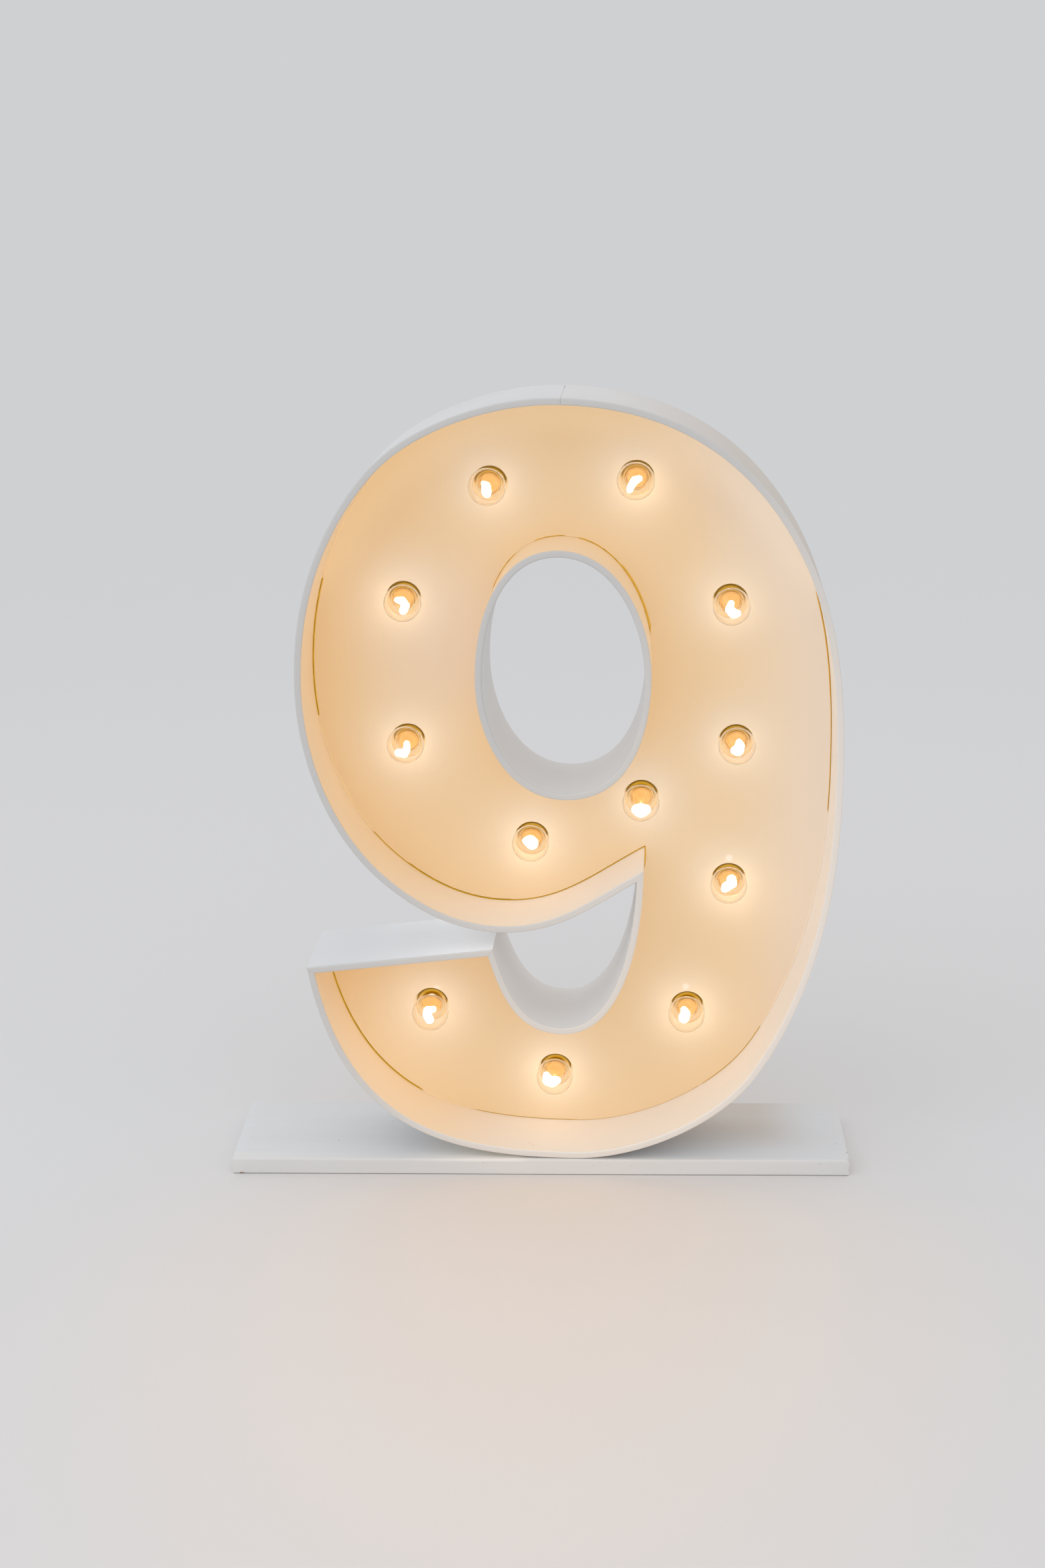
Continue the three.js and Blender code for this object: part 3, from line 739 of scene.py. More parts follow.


# brushed satin paint with its marks. What the bulbs light glows with painted light; the gap behind the
# panel's face is painted golden light, then dark painted shade; the front rim turns from grey to warm as
# painted shade and light. A turn is painted light and shade, another colour along one axis; a bounce is
# painted light along X.
def brushedPaint(name, base, low, lit=None, spots=(), shadingTurn=None, bounce=None):
    finish = Finish(name)
    x, y, z = finish.axes()
    patches, brush = finish.noise(*paint["patches"]), finish.noise(*paint["brush"])
    colour = finish.blend(patches, low, base)
    if shadingTurn:
        other, axis, start, end = shadingTurn
        colour = finish.blend(finish.between(x if axis == "x" else z, start, end), colour, other)
    for place, size, tint in spots:
        ragged = finish.awayFrom(place) + finish.noise(*paint["ragged"]) * size * paint["raggedShare"]
        colour = finish.blend(finish.between(ragged, size, size * paint["markEdge"]), colour, tint)
    rim = finish.past(y, frontY, paint["rimFade"])
    rimLitSide = finish.between(x - z * paint["rimSlope"], *paint["rimLightAcross"])
    if bounce:
        light, start, end = bounce
        amount = finish.between(x, start, end) * finish.past(y, backY, paint["backFade"]) * (1.0 - rim)
        finish.glows(finish.blend(amount, black, light))
    if lit:
        halo = finish.nearBulbs(paint["haloReach"], frontY + bulbs["centre"])
        inHole = finish.between(halo, *paint["inHole"])
        behind = finish.past(y, panelY, paint["gapStart"]) * (1.0 - inHole)
        light = finish.blend(rim * (1.0 - rimLitSide * paint["rimGlow"]), bulbLight(finish, lit, halo), black)
        colour = finish.blend(behind * finish.past(y, boardBack, paint["gapEnd"]), colour, paint["gap"])
        inGap = finish.blend(finish.past(y, panelY, paint["gapDark"]), paint["gapGlow"], black)
        finish.glows(finish.blend(behind, light, inGap))
    finish.set(
        baseColor=finish.blend(rim, colour, finish.blend(rimLitSide, paint["rim"], paint["rimWarm"])),
        roughness=finish.between(patches, 0.2, 0.8, "LINEAR") * paint["sheenSpread"] + paint["sheen"],
        normal=finish.bump(brush + patches * 0.5, *paint["bump"]))
    return finish


# every wall is the same white paint outside; the foot, right, gap, counter and tail-end copies below are each
# tinted to how light falls on that wall, some turning along an axis, as painted light and shade; the tail end
# also gets painted bounce light
outerPaint = brushedPaint("whiteWallPaint", paint["white"], paint["whiteLow"])
footShadedPaint = brushedPaint("footWallShadedPaint", (0.72, 0.71, 0.7), (0.68, 0.67, 0.66), None, marks["foot"])
rightShadedPaint = brushedPaint("rightWallShadedPaint", paint["white"], (0.71, 0.69, 0.67), None, (),
                          ((0.65, 0.6, 0.55), "x", 0.06, 0.26))
gapLitPaint = brushedPaint("gapWallLitPaint", (0.88, 0.85, 0.82), (0.84, 0.81, 0.77), None, marks["gap"])
counterShadedPaint = brushedPaint("counterWallShadedPaint", (0.78, 0.78, 0.77), (0.74, 0.735, 0.72), None,
                            marks["counter"], ((0.76, 0.73, 0.7), "z", 0.62, 0.52))
endLitPaint = brushedPaint("tailEndLitPaint", (0.775, 0.785, 0.795), (0.75, 0.76, 0.77), None, (),
                        ((0.94, 0.945, 0.95), "x", -0.24, -0.11), ((0.13, 0.125, 0.12), -0.16, -0.065))
innerPaint = brushedPaint("litWallPaint", paint["litWall"], paint["litWallLow"], "wall", marks["foot"])
panelPaint = brushedPaint("litPanelPaint", paint["panel"], paint["panelLow"], "panel")


# walls: each is a line extruded to its depth, thickened outwards, rounded along both rims
wall = {
    "rows": (0.012, 0.06, 0.3, 0.65, 1.0),
    "frontRound": 0.002,
    "backRound": 0.0008,
    "overrun": 0.016,
    "endReach": 0.034,
    "roundSteps": 4,
    "roundShape": 0.55,
    "gap": 0.00003,
    "topGap": 0.0002,
    "waver": 0.0005,
    "waverScale": 9,
    "waverRow": 3.1,
}


def ribbon(points, closed):
    piece = drawn([(points, closed)], frontY)
    openMesh(piece, "VERT", "SELECT")
    before = 0.0
    for row in wall["rows"]:
        bpy.ops.mesh.extrude_region_move(
            TRANSFORM_OT_translate={"value": (0, (row - before) * figure["wallDepth"], 0)})
        before = row
    closeMesh()
    # the sheet has to face away from the channel, to the right of the line's way
    one, two = points[0], points[1]
    start, away = Vector((one.x, frontY, one.y)), Vector((two.y - one.y, 0, one.x - two.x))
    nearest = min(piece.data.polygons, key=lambda face: (face.center - start).length)
    if nearest.normal.dot(away) < 0:
        openMesh(piece, "VERT", "SELECT")
        bpy.ops.mesh.flip_normals()
        closeMesh()
    for finish in (outerPaint, innerPaint):
        piece.data.materials.append(finish.material)
    useModifier(piece, "SOLIDIFY", thickness=figure["wallThickness"], offset=1.0, use_even_offset=True,
                material_offset=1, material_offset_rim=0)
    return piece


def cutEnd(piece, corner, outward, gap):
    middle = Vector((corner.x, 0, corner.y))
    plane = Vector((outward.x, 0, outward.y))
    pickFaces(piece, lambda f: (Vector((f.center.x, 0, f.center.z)) - middle).length < wall["endReach"])
    bpy.ops.mesh.bisect(plane_co=middle - plane.normalized() * gap, plane_no=plane, use_fill=True,
                        clear_outer=True)
    closeMesh()


def roundRims(piece):
    for rimY, reach in ((frontY, wall["frontRound"]), (backY, wall["backRound"])):
        sides = set()
        for face in piece.data.polygons:
            if abs(face.normal.y) < 0.5:
                sides.update(face.edge_keys)
        pickEdges(piece, lambda a, b: max(abs(a.y - rimY), abs(b.y - rimY)) < touching, sides)
        bpy.ops.mesh.bevel(offset=reach, segments=wall["roundSteps"], profile=wall["roundShape"])
        closeMesh()


# bent ply is never quite straight: the front rim wanders by half a millimetre
def waver(piece):
    scale, row = wall["waverScale"], wall["waverRow"]
    for vertex in piece.data.vertices:
        front = max(0.0, 1 - (vertex.co.y - frontY) / (figure["wallDepth"] * 0.5))
        shift = noise.noise(Vector((vertex.co.x * scale, row, vertex.co.z * scale)))
        vertex.co.y += wall["waver"] * shift * front


# across the corner where one line ends and the next begins
def acrossCorner(first, second):
    return ((first[-1] - first[-2]).normalized() + (second[1] - second[0]).normalized()).normalized()


# the walls on each line of the channel, cut to length at its corners and seams
def addWalls():
    for points, before, after, seams, jobs in (
            (outerLine, endLine, gapLine, ("bottomSeam", "sideSeam", "topSeam"), [
                ("tailWall", "tail_wall", footShadedPaint), ("footWall", "outer_wall_foot", footShadedPaint),
                ("rightWall", "outer_wall_right", rightShadedPaint), ("leftWall", "outer_wall_left", outerPaint)]),
            (gapLine, outerLine, endLine, (), [("gapWall", "gap_wall", gapLitPaint)]),
            (endLine, gapLine, outerLine, (), [("tailEndWall", "tail_end_wall", endLitPaint)])):
        run = lengths(points)
        cuts = [(0, points[0], acrossCorner(before, points), wall["gap"])]
        for seam in seams:
            at = figure[seam] * run[-1]
            gap = wall["topGap"] if seam == "topSeam" else wall["gap"]
            cuts.append((at, pointAlong(points, run, at), tangentAt(points, run, at), gap))
        cuts.append((run[-1], points[-1], acrossCorner(points, after), wall["gap"]))
        for (name, node, outside), start, end in zip(jobs, cuts, cuts[1:]):
            piece = ribbon(stretch(points, start[0] - wall["overrun"], end[0] + wall["overrun"]), False)
            roundRims(piece)
            cutEnd(piece, start[1], -start[2], start[3])
            cutEnd(piece, *end[1:])
            waver(piece)
            handIn(piece, name, "sign", [outside, innerPaint], [node])
    piece = ribbon(counterLine, True)
    roundRims(piece)
    waver(piece)
    handIn(piece, "counterWall", "sign", [counterShadedPaint, innerPaint], ["counter_wall"])


addWalls()
print("walls ready")


# the joint between panel and walls. It stands open in stretches, given for each line as two
# shares of its length and how much wider than the plain gap it is there. The rest is filled and painted.
joint = {
    "lines": {"outer": outerLine, "gap": gapLine, "end": endLine, "counter": counterLine + counterLine[:1]},
    "open": {
        "outer": [(0.013, 0.082, 0.0012), (0.11, 0.155, 0.0001), (0.155, 0.212, -0.0004),
                  (0.217, 0.253, 0.0001), (0.36, 0.41, 0.0004), (0.41, 0.455, 0.0008),
                  (0.745, 0.805, 0.0012), (0.865, 0.885, 0.0004), (0.885, 0.935, 0.0012),
                  (0.935, 1.001, 0.0006)],
        "gap": [(-0.001, 0.06, 0.0011)],
        "end": [],
        "counter": [(0.96, 1.001, 0.0002), (-0.001, 0.004, 0.0002), (0.03, 0.1, 0.0005),
                    (0.1, 0.21, 0.0017), (0.865, 0.92, 0.0001)],
    },
    "radius": 0.0014,
    "step": 0.004,
    "taper": 0.012,
    "thinnest": 0.25,
    "uneven": 0.18,
    "unevenScale": 60,
    "inset": 0.7,
    "depth": 0.0002,
}


def openBy(name, share):
    for start, end, width in joint["open"][name]:
        if start <= share <= end:
            return width
    return None


def gapWidths(name):
    run = lengths(joint["lines"][name])
    return [-figure["panelGap"] - (openBy(name, at / run[-1]) or 0.0) for at in run]


# a filled stretch is thin at both ends and never quite even
def beadRow(row):
    beads = []
    for i, place in enumerate(row):
        full = min(1.0, min(i, len(row) - 1 - i) * joint["step"] / joint["taper"])
        uneven = joint["uneven"] * noise.noise(Vector(place) * joint["unevenScale"])
        beads.append((place, joint["thinnest"] + (1 - joint["thinnest"]) * full + uneven))
    return beads


def addBeads():
    rows = []
    for name, points in joint["lines"].items():
        run = lengths(points)
        count = int(run[-1] / joint["step"])
        rows.append([])
        for step in range(count + 1):
            if openBy(name, step / count) is None:
                inward = pointBeside(points, run, run[-1] * step / count, figure["panelGap"] * joint["inset"])
                rows[-1].append((inward.x, panelY + joint["depth"], inward.y))
            elif rows[-1]:
                rows.append([])
    beads = tubes([beadRow(row) for row in rows if len(row) > 2], joint["radius"])
    handIn(beads, "panelCaulk", "sign", [panelPaint])


# face panel with its twelve bulb holes
def ringPoints(middle, across, up, radius, count):
    turns = [2 * math.pi * i / count for i in range(count)]
    return [middle + (across * math.cos(turn) + up * math.sin(turn)) * radius for turn in turns]


def addPanel():
    outlines = [(movedOutline(channelLine, gapWidths("outer") + gapWidths("gap")[1:]), True),
                (movedOutline(counterLine, gapWidths("counter")[:-1]), True)]
    across, up = Vector((1, 0)), Vector((0, 1))
    for place in bulbPlaces:
        outlines.append((ringPoints(place, across, up, bulbs["holeRadius"], bulbs["holeSteps"]), True))
    thick = figure["panelThickness"]
    piece = drawn(outlines, panelY + thick / 2, thick, filled=True)
    mend(piece)
    handIn(piece, "facePanel", "sign", [panelPaint], ["face_panel"], 20)


addPanel()
addBeads()
print("panel ready")


# bulbs, modelled once about the Y axis, with depths behind the front rim
bulb = {
    "glassWall": 0.0009,
    "neck": [(0.0126, 0.1043), (0.0126, 0.0985), (0.01265, 0.0965), (0.01295, 0.0945)],
    "neckInset": 0.0002,
    "throatAngle": 38.0,
    "innerTurn": 1.5,
    "globeSteps": 24,
    "turnSteps": 48,
    "stem": [(0, 0.1039), (0.0112, 0.1039), (0.0114, 0.1033), (0.0104, 0.1022), (0.0062, 0.0996),
             (0.0041, 0.0965), (0.0034, 0.092), (0.0031, 0.0865), (0.0036, 0.084), (0.0028, 0.0822),
             (0.0012, 0.0815), (0, 0.0814)],
    "stemSteps": 32,
    "stemTop": 0.0825,
    "leadRadius": 0.0003,
    "leadSpread": 0.0017,
    "tilt": 0.0015,
    "filamentDepth": 0.0718,
    "filamentReach": 0.0202,
    "filamentFlat": 0.7,
    "voxel": 0.0009,
    "glassTint": (1.0, 0.985, 0.96),
    "glassRough": 0.015,
    "glassIor": 1.38,
    "glassRipple": (0.12, 0.0006),
    "stemGlow": (0.84, 0.47, 0.15),
    "stemDeep": (0.7, 0.36, 0.09),
    "filamentGlow": (1.0, 0.96, 0.9),
    "filamentWarm": (1.0, 0.9, 0.74),
    "filamentStrength": 4.0,
}
# each bulb's lean in millimetres, then its glowing filament as blobs (x, z, radius) in
# millimetres from the globe's centre
filaments = [
    ((-2.2, -0.4), [(-3.5, 5.1, 3), (-0.5, 1.6, 5.5), (0, -4.4, 6), (0.5, -7.4, 5)]),
    ((-0.5, 0.2), [(4, 3.4, 4), (-1, 1.4, 5), (-5, -4.6, 4.5), (-7, -9.6, 4)]),
    ((2.9, -1.1), [(-6, 4.7, 3.5), (0, 3.7, 5), (4, -2.3, 5), (1, -8.3, 5)]),
    ((1.2, -1.5), [(-1, 4.6, 4), (-3, -2.4, 5), (2, -7.4, 6), (7, -7.4, 4)]),
    ((-1.3, 4.6), [(2, 2, 4), (2, -5, 4.5), (-1, -10, 5), (-8, -9, 5)]),
    ((0.5, 1.1), [(2, 5.6, 4), (3, 0.6, 6), (1, -4.4, 7), (-3, -4.4, 5)]),
    ((-0.2, -0.3), [(-5, -7.2, 6.5), (0, -8.2, 9), (5.5, -7.2, 6.5)]),
    ((-0.1, 5.5), [(-6, 4.2, 4), (0, 3.2, 8), (2, 1.2, 8)]),
    ((-0.9, 2.8), [(3, 8.1, 6), (4, 3.1, 6), (-3, -0.9, 6), (-5, -3.9, 4.5)]),
    ((1.1, -1.1), [(4, 5.8, 4), (-3, 3.8, 5.5), (-4, -2.2, 5.5), (-1, -8.2, 5.5)]),
    ((-1.8, 2), [(-3, 6.6, 4.5), (-1, 1.6, 6), (-3, -3.4, 7)]),
    ((-0.3, 3.9), [(-10, 3.4, 4), (-8, -3.6, 7), (-3, -5.6, 7), (3, -3.6, 5)]),
]


# glass that lets the lamps' light straight through, so that nothing near it is left in the dark
def clearGlass():
    finish = Finish("clearBulbGlass")
    finish.set(baseColor=bulb["glassTint"], roughness=bulb["glassRough"], transmissionWeight=1.0,
               ior=bulb["glassIor"], normal=finish.bump(finish.noise(55.0, 1.0), *bulb["glassRipple"]))
    finish.show(finish.add("ShaderNodeMixShader", {}, {
        0: finish.rays("Is Shadow Ray", "Is Diffuse Ray"), 1: finish.surface,
        2: finish.add("ShaderNodeBsdfTransparent", {}, {"Color": bulb["glassTint"]})}))
    return finish


def hotFilament():
    finish = Finish("hotFilament")
    warm = finish.blend(finish.noise(260.0, 2.0), bulb["filamentGlow"], bulb["filamentWarm"])
    finish.set(baseColor=(0.9, 0.85, 0.8))
    finish.glows(warm, bulb["filamentStrength"])
    finish.material.cycles.emission_sampling = "NONE"
    return finish


# the glass stem glows with the filament's light, painted on as emission
def filamentLitStem():
    finish = Finish("filamentLitGlassStem")
    cloud = finish.noise(140.0, 2.0)
    finish.set(baseColor=(0.3, 0.13, 0.04), roughness=cloud * 0.1 + 0.2)
    finish.glows(finish.blend(cloud, bulb["stemGlow"], bulb["stemDeep"]))
    return finish


def leadWire():
    finish = Finish("nickelLeadWire")
    finish.set(baseColor=(0.62, 0.5, 0.36), metallic=1.0, roughness=finish.noise(400.0) * 0.2 + 0.25)
    return finish


def globeArc(radius, start):
    steps = bulb["globeSteps"]
    angles = [math.radians(start + (180 - start) * i / steps) for i in range(steps + 1)]
    arc = [(radius * math.sin(angle), bulbs["centre"] + radius * math.cos(angle)) for angle in angles]
    return arc[:-1] + [(0, bulbs["centre"] - radius)]


def globeShape():
    thick = bulb["glassWall"]
    outer = bulb["neck"] + globeArc(bulbs["globeRadius"], bulb["throatAngle"])
    inner = [(radius - thick, depth - bulb["neckInset"]) for radius, depth in bulb["neck"]]
    inner[0] = (inner[0][0], bulb["neck"][0][1])
    inner += globeArc(bulbs["globeRadius"] - thick, bulb["throatAngle"] - bulb["innerTurn"])
    return turned(list(reversed(outer)) + inner, bulb["turnSteps"])


# where a bulb goes, leaning a little in its holder so that its globe stands off the axis
def bulbPlacing(index, lean=None):
    place = bulbPlaces[index]
    standing = Matrix.Translation((place.x, frontY, place.y))
    if lean is None:
        return standing
    off = Vector(lean) * mm
    if off.length > bulb["tilt"]:
        off = off.normalized() * bulb["tilt"]
    neck = bulb["neck"][0][1]
    ahead = Vector((off.x, bulbs["centre"] - neck, off.y))
    turn = Vector((0, -1, 0)).rotation_difference(ahead).to_matrix().to_4x4()
    pivot = Matrix.Translation((0, neck, 0))
    return standing @ pivot @ turn @ pivot.inverted()


def filamentShape(blobs):
    steps = []
    for one, two in zip(blobs, blobs[1:]):
        steps += [Vector(one).lerp(Vector(two), share) for share in (0, 0.33, 0.67)]
    steps.append(Vector(blobs[-1]))
    deselectAll()
    bpy.ops.object.add(type="MESH")
    piece = bpy.context.object
    bpy.ops.object.mode_set(mode="EDIT")
    for x, z, radius in steps:
        bpy.ops.mesh.primitive_ico_sphere_add(
            subdivisions=2, radius=radius * mm, location=(x * mm, 0, z * mm))
    closeMesh()
    useModifier(piece, "REMESH", mode="VOXEL", voxel_size=bulb["voxel"])
    useModifier(piece, "SMOOTH", factor=0.6, iterations=5)
    for vertex in piece.data.vertices:
        vertex.co.y = vertex.co.y * bulb["filamentFlat"] + bulb["filamentDepth"] - bulbs["centre"]
        if vertex.co.length > bulb["filamentReach"]:
            vertex.co = vertex.co.normalized() * bulb["filamentReach"]
    piece.data.transform(Matrix.Translation((0, bulbs["centre"], 0)))
    return piece


# two leads, from the stem to the filament's left and right end
def leadShape(blobs):
    top, low = bulb["stemTop"], bulb["filamentDepth"] + mm
    rows = []
    for side, (x, z, _) in ((-bulb["leadSpread"], min(blobs)), (bulb["leadSpread"], max(blobs))):
        rows.append([(place, 1) for place in (
            (side, top + 3 * mm, 0), (side, top - 2 * mm, 0), (side * 1.8, top - 5 * mm, z * mm / 4),
            (x * mm / 1.6, low + 3 * mm, z * mm / 1.5), (x * mm, low, z * mm))])
    return tubes(rows, bulb["leadRadius"], 1)


def addBulbs():
    glass, hot, glowing, wire = clearGlass(), hotFilament(), filamentLitStem(), leadWire()
    globe, stem = globeShape(), turned(bulb["stem"], bulb["stemSteps"])
    for index, (lean, blobs) in enumerate(filaments):
        number = f"{index + 1:02d}"
        body, placing = f"bulb_{number}", bulbPlacing(index, lean)
        handIn(anotherOf(globe, placing), f"bulbGlobe{number}", body, [glass],
               [f"bulb_glass_{number}"], 60)
        handIn(anotherOf(stem, placing), f"bulbStem{number}", body, [glowing])
        for shape, name, finish in ((filamentShape(blobs), "bulbFilament", hot),
                                    (leadShape(blobs), "bulbLeads", wire)):
            shape.data.transform(placing)
            handIn(shape, name + number, body, [finish], (), 80)
            shape.visible_shadow = False
    drop(globe, stem)


addBulbs()
print("bulbs ready")


# screw caps of the bulbs: rolled thread, black insulator and a soldered contact
cap = {
    "radius": 0.013,
    "lip": [(0, 0.1046), (0.0108, 0.1046), (0.0119, 0.1049), (0.0127, 0.1057), (0.013, 0.1066)],
    "tip": [(0.0126, 0.1236), (0.0118, 0.1243), (0.0112, 0.1245), (0.0076, 0.1252), (0.0046, 0.1257),
            (0.0045, 0.1268), (0.004, 0.128), (0.0026, 0.1285), (0, 0.1286)],
    "thread": (0.1075, 0.1225),
    "threadPitch": 0.0036,
    "threadDepth": 0.0007,
    "threadFade": 0.002,
    "rows": 34,
    "insulatorFrom": 0.1243,
    "contactFrom": 0.1255,
    "contactRadius": 0.0046,
    "brass": (0.66, 0.47, 0.2),
    "brassDull": (0.5, 0.34, 0.14),
}


def rolledBrass():
    finish = Finish("rolledBrass")
    tarnish = finish.noise(180.0, 4.0, 0.6)
    finish.set(baseColor=finish.blend(tarnish, cap["brass"], cap["brassDull"]), metallic=1.0,
               roughness=tarnish * 0.25 + 0.22)
    return finish


def plainFinish(name, colour, deep, scale, roughness, metallic=0.0, bump=0.1):
    finish = Finish(name)
    grain = finish.noise(scale, 3.0)
    finish.set(baseColor=finish.blend(grain, colour, deep), metallic=metallic,
               roughness=grain * 0.15 + roughness, normal=finish.bump(grain, bump, 0.0003))
    return finish


def capShape():
    start, end = cap["thread"]
    thread = [(cap["radius"], start + (end - start) * i / cap["rows"]) for i in range(cap["rows"] + 1)]
    piece = turned(cap["lip"] + thread + cap["tip"], bulb["turnSteps"])
    for vertex in piece.data.vertices:
        x, y, z = vertex.co
        if start - 1e-6 < y < end + 1e-6:
            fade = min(1.0, (y - start) / cap["threadFade"], (end - y) / cap["threadFade"])
            wave = 0.5 - 0.5 * math.cos(2 * math.pi * y / cap["threadPitch"] + math.atan2(z, x))
            shrink = 1 - cap["threadDepth"] * wave * fade / cap["radius"]
            vertex.co.x, vertex.co.z = x * shrink, z * shrink
    markFaces(piece, 1, lambda c: c.y > cap["insulatorFrom"])
    markFaces(piece, 2, lambda c: c.y > cap["contactFrom"] and math.hypot(c.x, c.z) < cap["contactRadius"])
    return piece


# lampholders: a moulded cup with a rounded lip. The height above each one's own axis and the
# distance from it go with its mesh as the attributes "rise" and "spread".
holder = {
    "flange": 0.02297,
    "profile": [
        (0, 0.1289), (0.0139, 0.1289), (0.0139, 0.1102), (0.0143, 0.1092), (0.0151, 0.1087),
        (0.0163, 0.1086), (0.0176, 0.1087), (0.0184, 0.1091), (0.0189, 0.1099), (0.01897, 0.1112),
        (0.01897, 0.116), (0.0184, 0.1164), (0.0184, 0.1176), (0.01897, 0.118), (0.01897, 0.1314),
        (0.0194, 0.1318), (0.0225, 0.1318), (0.02297, 0.1323), (0.02297, 0.1357), (0, 0.1357)],
    # the bulb's light and shade painted on each lampholder: where each colour lies by rise and spread, then
    # the colours
    "paleRise": (0.006, -0.01),
    "goldRise": (0.006, 0.013),
    "topRise": (0.0168, 0.0182),
    "lipSpread": (0.0166, 0.0184),
    "lipRise": (-0.003, 0.005),
    "amber": (0.84, 0.5, 0.17),
    "amberDeep": (0.72, 0.38, 0.1),
    "gold": (0.52, 0.262, 0.002),
    "pale": (0.84, 0.62, 0.36),
    "shade": (0.165, 0.083, 0.0005),
    "brown": (0.07, 0.035, 0.012),
    "brownDeep": (0.05, 0.025, 0.01),
}


# painted light and shade of the bulb: dark round its upper edge as painted shadow, golden inside that,
# amber at its middle and pale where the light falls
def litHolder():
    finish = Finish("brownLampholder")
    rise, spread = [finish.add("ShaderNodeAttribute", {"attribute_name": name}, {}, "Fac")
                    for name in ("rise", "spread")]
    grain = finish.noise(120.0, 3.0)
    shine = finish.blend(grain, holder["amber"], holder["amberDeep"])
    shine = finish.blend(finish.between(rise, *holder["paleRise"]), shine, holder["pale"])
    shine = finish.blend(finish.between(rise, *holder["goldRise"]), shine, holder["gold"])
    outside = finish.between(spread, *holder["lipSpread"]) * finish.between(rise, *holder["lipRise"])
    edge = outside.atLeast(finish.between(rise, *holder["topRise"]))
    finish.glows(finish.blend(edge, shine, holder["shade"]))
    finish.set(baseColor=finish.blend(grain, holder["brown"], holder["brownDeep"]),
               roughness=grain * 0.15 + 0.3)
    return finish


def addHolders():
    capFinishes = [
        rolledBrass(),
        plainFinish("capInsulator", (0.02, 0.02, 0.02), (0.035, 0.03, 0.028), 300.0, 0.3),
        plainFinish("solderedContact", (0.55, 0.55, 0.54), (0.4, 0.4, 0.39), 500.0, 0.35, 1.0)]
    moulded = litHolder()
    screwCap, cup = capShape(), turned(holder["profile"], bulb["turnSteps"])
    for name, measure in (("rise", lambda co: co.z), ("spread", lambda co: math.hypot(co.x, co.z))):
        values = cup.data.attributes.new(name, "FLOAT", "POINT")
        values.data.foreach_set("value", [measure(vertex.co) for vertex in cup.data.vertices])
    for index in range(len(bulbPlaces)):
        number, placing = f"{index + 1:02d}", bulbPlacing(index)
        handIn(anotherOf(screwCap, placing), f"bulbCap{number}", f"bulb_{number}",
               capFinishes, [f"bulb_cap_{number}"])
        handIn(anotherOf(cup, placing), f"lampholder{number}", "sign", [moulded],
               [f"lampholder_{number}"])
    drop(screwCap, cup)


addHolders()
print("lampholders ready")


# angle brackets and where their screws go, behind the figure
bracket = {
    "middles": {"left": -0.02414, "right": 0.11823},
    "faceY": 0.0543,
    "foot": 0.0193,
    "leg": 0.034,
    "width": 0.02,
    "thickness": 0.0025,
    "bend": 0.0035,
    "corner": 0.004,
    "soften": 0.00025,
    "boardScrewZ": 0.0431,
    "footScrewY": 0.0747,
    "holeRadius": 0.00205,
    "holeOverrun": 0.002,
}


# plank: a planed board under worn white paint, turned a little to the figure
plank = {
    "length": 0.746,
    "depth": 0.184,
    "thickness": 0.019,
    "edge": 0.003,
    "endEdge": 0.0008,
    "turn": 1.5,
    "cuts": 60,
    "screwXs": (0.00905, 0.08505),
    "screwY": 0.0325,
    "screwHoles": [(0.0023, 0.021), (0.0043, 0.0006)],
    "pilotHole": (0.0075, 0.03),
    "overrun": 0.002,
    "wear": 0.0006,
    "wearReach": 1.2,
    "wearScales": (55, 20, 30),
    "patches": (6.0, 4.0, 0.6),
    "grain": (30.0, 5.0, 0.65, (0.09, 1.0, 1.0)),
    "chips": (110.0, 5.0, 0.7),
    # the top's and the front's whites differ as painted light and shade: the top is painted darker and warmer
    # under the figure's right side as shade, the front brighter and warmer rightwards as light
    "paint": (0.74, 0.755, 0.77),
    "paintFrontLit": (0.78, 0.775, 0.765),
    "paintShadedWarm": (0.66, 0.6, 0.54),
    "paintLitBright": (0.86, 0.83, 0.8),
    "paintGrain": (0.55, 0.53, 0.5),
    "bare": (0.3, 0.2, 0.12),
    # painted bounce light on the top just left of the foot
    "bounce": (0.1, 0.085, 0.06),
    "topY": (-0.09, -0.075),
    "warmSway": 0.12,
    "warmX": (0.02, 0.24),
    "warmY": (-0.07, 0.02),
    "warmEnd": (0.26, 0.34),
    "brightX": (-0.2, 0.0),
    "wornX": (0.3715, 0.3745),
    "wornLow": ((0.006, 0.001), (-0.3, -0.37)),
    "wornFrom": (0.68, 0.74),
    "wornMore": (0.14, 0.16),
    "bounceZ": (0.015, 0.017),
    "bounceX": ((-0.17, -0.07), (0.0, -0.03)),
}


